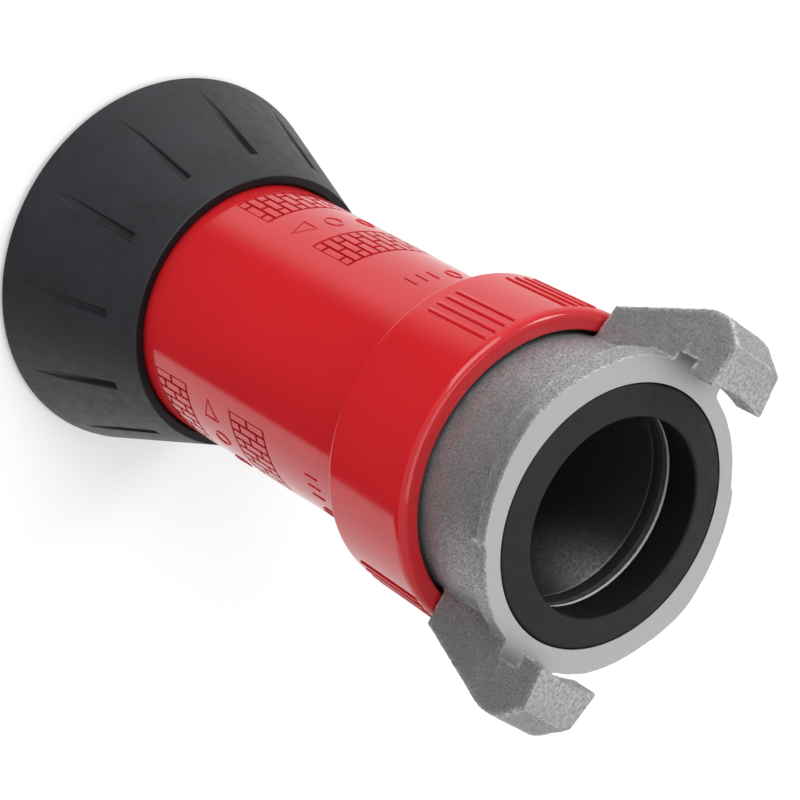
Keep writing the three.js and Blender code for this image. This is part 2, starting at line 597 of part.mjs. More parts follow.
function barrel() {
  const ringHalf = THROAT_RING_SECTION + GAP;
  const ringInner = throatRingRadius - ringHalf;
  const ringOuter = throatRingRadius + ringHalf;
  const zRingFloor = zBarrelWeb - 2 * ringHalf;
  const guideFloor = barrelBoreRadius + GUIDE_GROOVE_DEPTH;
  const zBead = NOSE_SETBACK + BEAD_GROOVE_START;
  const shell = toSolid(turned([
    [noseBoreRadius, NOSE_SETBACK], [barrelFrontRadius, NOSE_SETBACK], [barrelFrontRadius, zBead],
    [beadRadius, zBead], [beadRadius, zBead + BEAD_GROOVE_WIDTH],
    [barrelFrontRadius, zBead + BEAD_GROOVE_WIDTH], [barrelFrontRadius, BUMPER_LENGTH],
    [BARREL_RADIUS, zBarrelRear], [barrelBoreRadius, zBarrelRear],
    [barrelBoreRadius, zGuideRing + GUIDE_RING_WIDTH + GAP],
    [guideFloor, zGuideRing + GUIDE_RING_WIDTH + GAP], [guideFloor, zGuideRing - GAP],
    [barrelBoreRadius, zGuideRing - GAP], [barrelBoreRadius, zBarrelWeb + CHAMBER_CONE],
    [coneFootRadius, zBarrelWeb], [ringOuter, zBarrelWeb], [ringOuter, zRingFloor],
    [ringInner, zRingFloor], [ringInner, zBarrelWeb], [throatBoreRadius, zBarrelWeb],
    [throatBoreRadius, zThroatFront + THROAT_EDGE],
    [throatBoreRadius + NOSE_CHAMFER, zThroatFront - THROAT_EDGE],
  ]));
  const pinHoles = [0, Math.PI].map((angle) =>
    radialPin(PIN_RADIUS + GAP, barrelBoreRadius - OVERSHOOT, BARREL_RADIUS + OVERSHOOT, zPin, angle));
  return toGeometry(cut(shell, pinHoles));
}

const throatRing = () =>
  roundRing(throatRingRadius, zBarrelWeb - THROAT_RING_SECTION - GAP, THROAT_RING_SECTION);

function throatSeat() {
  const zFlange = zBarrelWeb + GAP;
  return turned([
    [THROAT_RADIUS, zThroatFront], [THROAT_RADIUS + THROAT_LIP, zThroatFront],
    [THROAT_BODY_RADIUS, zThroatFront + THROAT_EDGE], [THROAT_BODY_RADIUS, zFlange],
    [THROAT_FLANGE_RADIUS, zFlange], [THROAT_FLANGE_RADIUS, zFlange + THROAT_FLANGE],
    [THROAT_BODY_RADIUS, zFlange + THROAT_FLANGE + THROAT_EDGE],
    [THROAT_RADIUS, zThroatFront + THROAT_INLET],
  ]);
}

function camPin(angle) {
  return radialPin(PIN_RADIUS, tubeRadius - CAM_DEPTH + GAP, BARREL_RADIUS - GAP, zPin, angle);
}

const guideRing = () => turned([
  [tubeRadius + GAP, zGuideRing], [barrelBoreRadius + GUIDE_GROOVE_DEPTH - GAP, zGuideRing],
  [barrelBoreRadius + GUIDE_GROOVE_DEPTH - GAP, zGuideRing + GUIDE_RING_WIDTH],
  [tubeRadius + GAP, zGuideRing + GUIDE_RING_WIDTH],
]);

function flareRadius(z) {
  const share = (z - RIM_HEIGHT) / (BUMPER_LENGTH - RIM_HEIGHT);
  return RIM_RADIUS + (flareEndRadius - RIM_RADIUS) * share;
}

// One lengthwise recess in the bumper's flank: deep and square at the rear, fading at the rim.
function flute(i) {
  const half = FLUTE_WIDTH / 2;
  const zSquare = BUMPER_LENGTH - FLUTE_SETBACK;
  const corners = [
    [flareRadius(zSquare) - FLUTE_DEPTH, zSquare], [flareRadius(zSquare) + OVERSHOOT, zSquare],
    [flareRadius(FLUTE_END) + OVERSHOOT, FLUTE_END], [flareRadius(FLUTE_END), FLUTE_END],
  ];
  const side = new THREE.Shape(corners.map(([r, z]) => new THREE.Vector2(r, z)));
  return new THREE.ExtrudeGeometry(side, { depth: 2 * half, bevelEnabled: false })
    .translate(0, 0, -half).rotateX(Math.PI / 2).rotateZ((2 * Math.PI * i) / FLUTE_COUNT);
}

function bumper() {
  const bore = barrelFrontRadius + GAP;
  const zBead = NOSE_SETBACK + BEAD_GROOVE_START + GAP;
  const zBeadEnd = zBead + BEAD_GROOVE_WIDTH - 2 * GAP;
  const zPocket = MOUTH_DEPTH + KEEPER_THICKNESS;
  const pocket = teethRingRadius + GAP;
  const keeper = teethRingRadius - KEEPER_LIP;
  const shell = toSolid(turned([
    [RIM_RADIUS - RIM_WALL, 0], [RIM_RADIUS - RIM_HEIGHT, 0], [RIM_RADIUS, RIM_HEIGHT],
    [flareEndRadius, BUMPER_LENGTH - BUMPER_EDGE], [flareEndRadius - BUMPER_EDGE, BUMPER_LENGTH],
    [bore, BUMPER_LENGTH],
    [bore, zBeadEnd], [beadRadius + GAP, zBeadEnd], [beadRadius + GAP, zBead], [bore, zBead],
    [bore, NOSE_SETBACK], [pocket, NOSE_SETBACK], [pocket, zPocket], [keeper, zPocket],
    [keeper, MOUTH_DEPTH],
  ]));
  return toGeometry(cut(shell, Array.from({ length: FLUTE_COUNT }, (_, i) => flute(i))));
}

function teethRing() {
  const shape = new THREE.Shape();
  shape.absarc(0, 0, teethRingRadius, 0, 2 * Math.PI, false);
  const root = noseBoreRadius + GAP;
  const tip = root - TOOTH_HEIGHT;
  const pitch = (2 * Math.PI) / TEETH_COUNT;
  const toothHalf = (pitch * TOOTH_SHARE) / 2;
  const outline = Array.from({ length: TEETH_COUNT }, (_, i) => {
    const middle = i * pitch;
    return [[root, -toothHalf], [tip, -toothHalf / 2],
      [tip, toothHalf / 2], [root, toothHalf]].map(([r, offset]) =>
      new THREE.Vector2(r * Math.cos(middle + offset), r * Math.sin(middle + offset)));
  }).flat();
  shape.holes.push(new THREE.Path(outline));
  const z = MOUTH_DEPTH + KEEPER_THICKNESS + GAP;
  return plate(shape, z, NOSE_SETBACK - GAP - z, SEGMENTS);
}

// ---- assembly ----------------------------------------------------------------------------

const nozzle = new THREE.Group();

function place(parent, name, geometry, material) {
  const mesh = new THREE.Mesh(geometry, material);
  mesh.name = name;
  parent.add(mesh);
}

function baseAssembly() {
  const base = new THREE.Group();
  place(base, 'coupling_head', couplingHead(), CAST_ALUMINIUM);
  place(base, 'coupling_seal', couplingSeal(), RUBBER);
  place(base, 'inlet_gasket', inletGasket(), FIBRE);
  place(base, 'coupling_lock_screw', lockScrew(), STAINLESS);
  place(base, 'collar', collar(), RED_PLASTIC);
  place(base, 'wiper_ring', wiperRing(), RUBBER);
  place(base, 'body_tube', bodyTube(), BLACK_NYLON);
  place(base, 'body_o_ring_front', bodyRing(BODY_RING_SETBACKS[0]), RUBBER);
  place(base, 'body_o_ring_rear', bodyRing(BODY_RING_SETBACKS[1]), RUBBER);
  place(base, 'spider', spider(), BLACK_NYLON);
  place(base, 'spider_snap_ring', snapRing(), STAINLESS);
  place(base, 'stem', stem(), STAINLESS);
  place(base, 'stem_washer',
    washer(stemBoreRadius, nutFlatRadius + STEM_WASHER_RIM, zStemWasher, STEM_WASHER), STAINLESS);
  place(base, 'stem_nut', stemNut(), BRASS);
  place(base, 'baffle', baffle(), BLACK_NYLON);
  place(base, 'shutoff_seal',
    washer(spigotRadius + GAP, SHUTOFF_SEAL_RADIUS, zShutoffFront, SHUTOFF_SEAL), RUBBER);
  place(base, 'seal_washer',
    washer(spigotRadius + GAP, SEAL_WASHER_RADIUS, zSealWasher, SEAL_WASHER), BRASS);
  place(base, 'baffle_screw', baffleScrew(), STAINLESS);
  return base;
}

function barrelAssembly() {
  const turning = new THREE.Group();
  place(turning, 'barrel', barrel(), RED_PLASTIC);
  place(turning, 'bumper', bumper(), RUBBER);
  place(turning, 'fog_teeth_ring', teethRing(), BLACK_NYLON);
  place(turning, 'throat_seat', throatSeat(), BRASS);
  place(turning, 'throat_o_ring', throatRing(), RUBBER);
  place(turning, 'cam_pin_left', camPin(Math.PI), STAINLESS);
  place(turning, 'cam_pin_right', camPin(0), STAINLESS);
  return turning;
}

function guideAssembly() {
  const sliding = new THREE.Group();
  place(sliding, 'guide_ring', guideRing(), BLACK_NYLON);
  return sliding;
}

nozzle.add(baseAssembly(), guideAssembly(), barrelAssembly());

export default nozzle;
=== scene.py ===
"""Visual model of a twist fire hose nozzle with a two-claw coupling.

The nozzle stands on its bumper rim, outlet down and claws up, with its axis on Z. Sizes in the
classes are millimetres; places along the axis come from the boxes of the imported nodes.
"""

import logging
import math
from dataclasses import dataclass
from enum import Enum
from typing import Optional

import bmesh
import bpy
import numpy as np
from mathutils import Matrix, Vector, noise

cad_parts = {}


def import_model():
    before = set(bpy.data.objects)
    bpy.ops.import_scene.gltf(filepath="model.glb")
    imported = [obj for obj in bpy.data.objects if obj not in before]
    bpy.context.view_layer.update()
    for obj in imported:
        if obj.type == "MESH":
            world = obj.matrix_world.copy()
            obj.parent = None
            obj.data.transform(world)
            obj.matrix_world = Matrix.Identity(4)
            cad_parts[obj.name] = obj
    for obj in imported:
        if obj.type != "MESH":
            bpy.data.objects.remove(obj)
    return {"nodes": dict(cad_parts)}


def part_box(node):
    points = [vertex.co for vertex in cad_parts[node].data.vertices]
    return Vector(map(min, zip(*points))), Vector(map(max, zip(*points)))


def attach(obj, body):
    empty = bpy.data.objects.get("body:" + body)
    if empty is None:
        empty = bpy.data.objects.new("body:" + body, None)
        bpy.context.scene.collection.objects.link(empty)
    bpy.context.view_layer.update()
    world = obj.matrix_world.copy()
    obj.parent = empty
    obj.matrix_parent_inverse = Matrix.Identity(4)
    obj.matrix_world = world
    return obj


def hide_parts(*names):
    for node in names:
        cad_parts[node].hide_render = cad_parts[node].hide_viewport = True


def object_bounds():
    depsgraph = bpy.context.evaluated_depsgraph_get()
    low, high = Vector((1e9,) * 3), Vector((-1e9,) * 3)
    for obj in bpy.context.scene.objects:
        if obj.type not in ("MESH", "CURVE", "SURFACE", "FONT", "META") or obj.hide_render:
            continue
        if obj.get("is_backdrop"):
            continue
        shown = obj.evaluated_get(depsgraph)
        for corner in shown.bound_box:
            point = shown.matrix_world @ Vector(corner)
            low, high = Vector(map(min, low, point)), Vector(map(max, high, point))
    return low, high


LOG = logging.getLogger("nozzle")

MM = 0.001
TURN = 2 * math.pi
GAP = 0.3                      # clearance between pieces that rest on each other
OVERSHOOT = 2.0                # how far a cutter runs past what it cuts
FINE = 192                     # facets round a large turned piece
MEDIUM = 96
SMALL = 48
ARC_STEPS = 4                  # facets in an edge round
SUPPORT = 0.35                 # distance of the extra points that keep flats flat beside a round
SHARP_ANGLE = math.radians(42)
WELD = 1e-7
WEAR_START = 0.06              # bend at a point where edge wear starts, and the span to full wear
WEAR_SPAN = 0.14
WEAR_SPREAD = 2                # how many points further the wear reaches

Colour = tuple[float, float, float]
Point2 = tuple[float, float]
Piece = bpy.types.Object
Socket = bpy.types.NodeSocket


class Body(Enum):
    """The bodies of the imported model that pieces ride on."""

    BASE = "base"
    BARREL = "barrel_set"


class Slot(Enum):
    """The record's material slots."""

    ALUMINIUM = "cast_aluminium"
    RED = "red_plastic"
    NYLON = "black_nylon"
    RUBBER = "rubber"
    SEAL = "seal_rubber"
    STEEL = "stainless"
    BRASS = "brass"
    FIBRE = "fibre"


# ---- outlines and turned meshes ----


@dataclass(frozen=True)
class Corner:
    """One corner of an outline of [radius, height], with the radius of its edge round."""

    r: float
    z: float
    round: float = 0.0


def toward(a: np.ndarray, b: np.ndarray) -> tuple[np.ndarray, float]:
    """Direction and distance between two points.

    Args:
        a: The point to start from.
        b: The point to go to.

    Returns:
        The unit vector from a to b, and the distance.
    """
    step = b - a
    length = float(np.hypot(*step))
    return step / length, length


def corner_arc(before: np.ndarray, corner: Corner, after: np.ndarray) -> list[np.ndarray]:
    """Points that replace one corner by a round, with a support point on either side.

    Args:
        before: The corner before this one.
        corner: The corner to round.
        after: The corner after this one.

    Returns:
        The points in order, or the corner itself when it has no round.
    """
    here = np.array([corner.r, corner.z])
    if corner.round <= 0:
        return [here]
    back, back_length = toward(here, before)
    ahead, ahead_length = toward(here, after)
    half = math.acos(float(np.clip(back @ ahead, -1, 1))) / 2
    if half > math.radians(89):
        return [here]
    reach = min(corner.round / math.tan(half), 0.45 * back_length, 0.45 * ahead_length)
    radius = reach * math.tan(half)
    middle = back + ahead
    centre = here + middle / np.hypot(*middle) * radius / math.sin(half)
    first = here + back * reach - centre
    last = here + ahead * reach - centre
    sweep = math.pi - 2 * half
    arc = []
    for i in range(ARC_STEPS + 1):
        share = i / ARC_STEPS
        blend = (math.sin((1 - share) * sweep) * first + math.sin(share * sweep) * last)
        arc.append(centre + blend / math.sin(sweep))
    lead = here + back * min(reach + SUPPORT, 0.5 * back_length)
    tail = here + ahead * min(reach + SUPPORT, 0.5 * ahead_length)
    return [lead, *arc, tail]


def rounded(corners: list[Corner]) -> np.ndarray:
    """The closed outline that goes through all corners, each with its round.

    Args:
        corners: The corners in order.

    Returns:
        An array of [radius, height] rows in millimetres.
    """
    raw = [np.array([c.r, c.z]) for c in corners]
    points: list[np.ndarray] = []
    for i, corner in enumerate(corners):
        points += corner_arc(raw[i - 1], corner, raw[(i + 1) % len(raw)])
    kept = [points[0]]
    for p in points[1:]:
        if np.hypot(*(p - kept[-1])) > 1e-4:
            kept.append(p)
    return np.array(kept)


def even_angles(count: int) -> np.ndarray:
    """Angles of equal steps round one turn, as an array in radians."""
    return np.linspace(0, TURN, count, endpoint=False)


def grid_mesh(name: str, points: np.ndarray) -> bpy.types.Mesh:
    """A closed mesh from a grid of points that wraps both ways.

    Args:
        name: Name of the mesh.
        points: Array of shape [around, along, 3] in millimetres.

    Returns:
        The mesh, in metres, with its doubles merged and its faces pointing out.
    """
    around, along = points.shape[:2]
    i, j = np.meshgrid(np.arange(around), np.arange(along), indexing="ij")
    i_next, j_next = (i + 1) % around, (j + 1) % along
    faces = np.stack(
        [i * along + j, i_next * along + j, i_next * along + j_next, i * along + j_next], axis=-1
    )
    mesh = bpy.data.meshes.new(name)
    mesh.from_pydata((points.reshape(-1, 3) * MM).tolist(), [], faces.reshape(-1, 4).tolist())
    clean(mesh)
    return mesh


def clean(mesh: bpy.types.Mesh) -> None:
    """Merges doubles, points all faces outwards and shades smooth up to sharp edges.

    Args:
        mesh: The mesh to change.
    """
    work = bmesh.new()
    work.from_mesh(mesh)
    bmesh.ops.remove_doubles(work, verts=work.verts, dist=WELD)
    bmesh.ops.dissolve_degenerate(work, edges=work.edges, dist=WELD)
    bmesh.ops.recalc_face_normals(work, faces=work.faces)
    work.to_mesh(mesh)
    work.free()
    finish_shading(mesh)


def finish_shading(mesh: bpy.types.Mesh) -> None:
    """Smooth shading with sharp edges where faces meet at a clear angle."""
    mesh.shade_smooth()
    mesh.set_sharp_from_angle(angle=SHARP_ANGLE)


def new_object(name: str, mesh: bpy.types.Mesh) -> Piece:
    """A scene object at the origin that shows a mesh."""
    piece = bpy.data.objects.new(name, mesh)
    bpy.context.scene.collection.objects.link(piece)
    return piece


def finished(name: str, work: bmesh.types.BMesh) -> Piece:
    """Turns a worked mesh's faces outward and makes it an object.

    Args:
        name: Name of the object.
        work: The worked mesh, which is freed.

    Returns:
        The object.
    """
    bmesh.ops.recalc_face_normals(work, faces=work.faces)
    mesh = bpy.data.meshes.new(name)
    work.to_mesh(mesh)
    work.free()
    return new_object(name, mesh)


def turned(name: str, corners: list[Corner], segments: int = FINE) -> Piece:
    """A solid of revolution about Z.

    Args:
        name: Name of the object.
        corners: The closed outline of its section.
        segments: Facets round one turn.

    Returns:
        The object.
    """
    outline = rounded(corners)
    return new_object(name, grid_mesh(name, revolve(outline, even_angles(segments))))


def revolve(outline: np.ndarray, angles: np.ndarray) -> np.ndarray:
    """Grid of points of an outline turned to each angle.

    Args:
        outline: Rows of [radius, height].
        angles: Angles round Z in radians.

    Returns:
        Array of shape [angles, outline, 3].
    """
    radius = outline[None, :, 0]
    x = radius * np.cos(angles)[:, None]
    y = radius * np.sin(angles)[:, None]
    z = np.broadcast_to(outline[None, :, 1], x.shape)
    return np.stack([x, y, z], axis=-1)


def prism(name: str, outline: list[Point2], depth: float) -> Piece:
    """A solid whose outline lies in XZ and that is extruded along Y about its middle.

    Args:
        name: Name of the object.
        outline: Points [x, z] in millimetres.
        depth: Size along Y.

    Returns:
        The object.
    """
    count = len(outline)
    near = [(x * MM, -depth / 2 * MM, z * MM) for x, z in outline]
    far = [(x * MM, depth / 2 * MM, z * MM) for x, z in outline]
    faces = [list(range(count)), list(range(2 * count - 1, count - 1, -1))]
    for i in range(count):
        after = (i + 1) % count
        faces.append([i, count + i, count + after, after])
    mesh = bpy.data.meshes.new(name)
    mesh.from_pydata(near + far, [], faces)
    clean(mesh)
    return new_object(name, mesh)


def boolean(piece: Piece, other: Piece, operation: str) -> None:
    """Joins or cuts a piece with another closed mesh, and removes the other.

    Args:
        piece: The object that keeps the result.
        other: The object that is added or taken away.
        operation: UNION or DIFFERENCE.
    """
    modifier = piece.modifiers.new("boolean", "BOOLEAN")
    modifier.operation = operation
    modifier.solver = "MANIFOLD"
    modifier.object = other
    bake_modifiers(piece)
    bpy.data.objects.remove(other)


def bake_modifiers(piece: Piece) -> None:
    """Turns a piece and its modifiers into one plain mesh.

    Args:
        piece: The object to change.
    """
    bpy.context.view_layer.update()
    graph = bpy.context.evaluated_depsgraph_get()
    made = bpy.data.meshes.new_from_object(piece.evaluated_get(graph))
    piece.modifiers.clear()
    old = piece.data
    piece.data = made
    if old is not None and old.users == 0:
        bpy.data.meshes.remove(old)


def mark_wear(mesh: bpy.types.Mesh) -> None:
    """Writes how far each point stands out from its neighbours, for bright worn edges.

    Args:
        mesh: The mesh that gets the point attribute.
    """
    count = len(mesh.vertices)
    places, normals = np.empty(3 * count), np.empty(3 * count)
    mesh.vertices.foreach_get("co", places)
    mesh.vertices.foreach_get("normal", normals)
    places, normals = places.reshape(-1, 3), normals.reshape(-1, 3)
    ends = np.empty(2 * len(mesh.edges), dtype=int)
    mesh.edges.foreach_get("vertices", ends)
    a, b = ends.reshape(-1, 2).T
    run = places[b] - places[a]
    length = np.maximum(np.linalg.norm(run, axis=1), WELD)
    bend = np.zeros(count)
    met = np.zeros(count)
    np.add.at(bend, a, -(run * normals[a]).sum(axis=1) / length)
    np.add.at(bend, b, (run * normals[b]).sum(axis=1) / length)
    np.add.at(met, a, 1)
    np.add.at(met, b, 1)
    exposed = np.clip((bend / np.maximum(met, 1) - WEAR_START) / WEAR_SPAN, 0, 1)
    for _ in range(WEAR_SPREAD):
        around = np.zeros(count)
        np.maximum.at(around, a, exposed[b])
        np.maximum.at(around, b, exposed[a])
        exposed = np.maximum(exposed, 0.75 * around)
    layer = mesh.attributes.new(SandCastMetal.wear, "FLOAT", "POINT")
    layer.data.foreach_set("value", exposed.astype(np.float32))


def join_meshes(name: str, pieces: list[Piece]) -> Piece:
    """One object that holds the meshes of several, which are removed.

    Args:
        name: Name of the new object.
        pieces: The objects to join.

    Returns:
        The joined object.
    """
    work = bmesh.new()
    for piece in pieces:
        work.from_mesh(piece.data)
        bpy.data.objects.remove(piece)
    mesh = bpy.data.meshes.new(name)
    work.to_mesh(mesh)
    work.free()
    finish_shading(mesh)
    return new_object(name, mesh)


# ---- geometry node trees ----


class GeometryGraph:
    """A geometry node tree under construction, with named inputs."""

    def __init__(self, name: str) -> None:
        """Starts an empty tree that gives one geometry.

        Args:
            name: Name of the tree.
        """
        self.tree = bpy.data.node_groups.new(name, "GeometryNodeTree")
        self.tree.interface.new_socket("Geometry", in_out="OUTPUT", socket_type="NodeSocketGeometry")
        self.tree.interface.new_socket("Geometry", in_out="INPUT", socket_type="NodeSocketGeometry")
        self.entry = self.tree.nodes.new("NodeGroupInput")

    def input(self, name: str, kind: str) -> Socket:
        """A named input of the tree.

        Args:
            name: The input's name.
            kind: Float, Int, Object or Material.

        Returns:
            The socket inside the tree.
        """
        self.tree.interface.new_socket(name, in_out="INPUT", socket_type=f"NodeSocket{kind}")
        return self.entry.outputs[name]

    def node(self, kind: str, *links: object, **settings: object) -> bpy.types.Node:
        """Adds a node.

        Args:
            kind: The node's type.
            links: A socket or value for each input in order; None leaves one as it is.
            settings: Properties of the node.

        Returns:
            The node.
        """
        made = self.tree.nodes.new(kind)
        for key, value in settings.items():
            setattr(made, key, value)
        for socket, link in zip(made.inputs, links):
            if isinstance(link, Socket):
                self.tree.links.new(link, socket)
            elif link is not None:
                socket.default_value = link
        return made

    def math(self, operation: str, a: object, b: object = 0.0) -> Socket:
        """The result of a math node on two numbers or sockets."""
        return self.node("ShaderNodeMath", a, b, operation=operation).outputs[0]

    def vector(self, x: object, y: object, z: object) -> Socket:
        """A vector of three numbers or sockets."""
        return self.node("ShaderNodeCombineXYZ", x, y, z).outputs[0]

    def copies(
        self,
        count: object,
        angle: Socket,
        radius: object,
        height: object,
        stretch: object = 1.0,
        wanted: object = True,
    ) -> Socket:
        """Copies of the tree's Piece input, each turned to its angle round Z.

        Args:
            count: How many points there are.
            angle: Angle of each point.
            radius: Distance of each point from Z.
            height: Height of each point.
            stretch: Scale of each copy along Z.
            wanted: Which points take a copy.

        Returns:
            The instances.
        """
        x = self.math("MULTIPLY", radius, self.math("COSINE", angle))
        y = self.math("MULTIPLY", radius, self.math("SINE", angle))
        points = self.node("GeometryNodePoints", count, self.vector(x, y, height))
        piece = self.node("GeometryNodeObjectInfo", self.input("Piece", "Object"))
        rotation = self.node("FunctionNodeEulerToRotation", self.vector(0.0, 0.0, angle))
        placed = self.node("GeometryNodeInstanceOnPoints")
        for name, source in (
            ("Points", points.outputs[0]),
            ("Instance", piece.outputs["Geometry"]),
            ("Rotation", rotation.outputs[0]),
            ("Scale", self.vector(1.0, 1.0, stretch)),
        ):
            self.tree.links.new(source, placed.inputs[name])
        if isinstance(wanted, Socket):
            self.tree.links.new(wanted, placed.inputs["Selection"])
        return placed.outputs[0]

    def close(self, geometry: Socket) -> bpy.types.NodeTree:
        """Ends the tree in Realize Instances and Set Material.

        Args:
            geometry: What the tree has made.

        Returns:
            The finished tree.
        """
        realized = self.node("GeometryNodeRealizeInstances", geometry)
        painted = self.node("GeometryNodeSetMaterial", realized.outputs[0])
        self.tree.links.new(self.input("Material", "Material"), painted.inputs["Material"])
        self.node("NodeGroupOutput", painted.outputs[0])
        return self.tree


def ring_tree() -> bpy.types.NodeTree:
    """Tree that sets copies of a piece at equal steps round Z."""
    graph = GeometryGraph("copies round the axis")
    count = graph.input("Count", "Int")
    start = graph.input("Start angle", "Float")
    pitch = graph.input("Pitch angle", "Float")
    index = graph.node("GeometryNodeInputIndex").outputs[0]
    angle = graph.math("ADD", start, graph.math("MULTIPLY", index, pitch))
    return graph.close(graph.copies(count, angle, 0.0, 0.0))


def brick_tree() -> bpy.types.NodeTree:
    """Tree that lays bricks in staggered columns on a slightly tapered barrel."""
    graph = GeometryGraph("staggered bricks on a barrel")
    columns = graph.input("Columns", "Int")
    rows = graph.input("Rows", "Int")
    start = graph.input("Start angle", "Float")
    pitch = graph.input("Column angle", "Float")
    front = graph.input("Band front", "Float")
    rear = graph.input("Band rear", "Float")
    length = graph.input("Brick length", "Float")
    joint = graph.input("Joint", "Float")
    radius = graph.input("Radius at front", "Float")
    taper = graph.input("Taper", "Float")
    index = graph.node("GeometryNodeInputIndex").outputs[0]
    column = graph.math("FLOOR", graph.math("DIVIDE", index, rows))
    row = graph.math("SUBTRACT", index, graph.math("MULTIPLY", column, rows))
    odd = graph.math("MODULO", column, 2.0)
    shift = graph.math("SUBTRACT", row, graph.math("MULTIPLY", odd, 0.5))
    low = graph.math("ADD", front, graph.math("MULTIPLY", shift, length))
    high = graph.math("ADD", low, length)
    low = graph.math("MAXIMUM", low, front)
    high = graph.math("MINIMUM", high, rear)
    middle = graph.math("MULTIPLY", graph.math("ADD", low, high), 0.5)
    share = graph.math(
        "DIVIDE",
        graph.math("SUBTRACT", graph.math("SUBTRACT", high, low), joint),
        graph.math("SUBTRACT", length, joint),
    )
    fall = graph.math("MULTIPLY", taper, graph.math("SUBTRACT", middle, front))
    angle = graph.math("ADD", start, graph.math("MULTIPLY", graph.math("ADD", column, 0.5), pitch))
    bricks = graph.copies(
        graph.math("MULTIPLY", columns, rows),
        angle,
        graph.math("SUBTRACT", radius, fall),
        middle,
        share,
        graph.math("GREATER_THAN", share, 0.1),
    )
    return graph.close(bricks)


def bead_tree() -> bpy.types.NodeTree:
    """Tree that runs a round bead along every edge of the mesh it is given."""
    graph = GeometryGraph("bead along a line")
    radius = graph.input("Bead radius", "Float")
    sides = graph.input("Sides", "Int")
    line = graph.node("GeometryNodeMeshToCurve", graph.entry.outputs["Geometry"])
    circle = graph.node("GeometryNodeCurvePrimitiveCircle")
    graph.tree.links.new(sides, circle.inputs["Resolution"])
    graph.tree.links.new(radius, circle.inputs["Radius"])
    bead = graph.node("GeometryNodeCurveToMesh", line.outputs[0], circle.outputs[0])
    bead.inputs["Fill Caps"].default_value = True
    return graph.close(bead.outputs[0])


def grown(
    name: str,
    tree: bpy.types.NodeTree,
    values: dict[str, object],
    carrier: Optional[bpy.types.Mesh] = None,
) -> Piece:
    """Runs a tree once and keeps its result as a plain mesh.

    Args:
        name: Name of the object.
        tree: The tree to run.
        values: A value for each of the tree's named inputs.
        carrier: The mesh that the tree is given, when it needs one.

    Returns:
        The object, with no modifier left on it.
    """
    piece = new_object(name, carrier or bpy.data.meshes.new(name))
    modifier = piece.modifiers.new("grow", "NODES")
    modifier.node_group = tree
    for item in tree.interface.items_tree:
        if item.in_out == "INPUT" and item.name in values:
            modifier[item.identifier] = values[item.name]
    bake_modifiers(piece)
    clean(piece.data)
    return piece


# ---- finishes ----


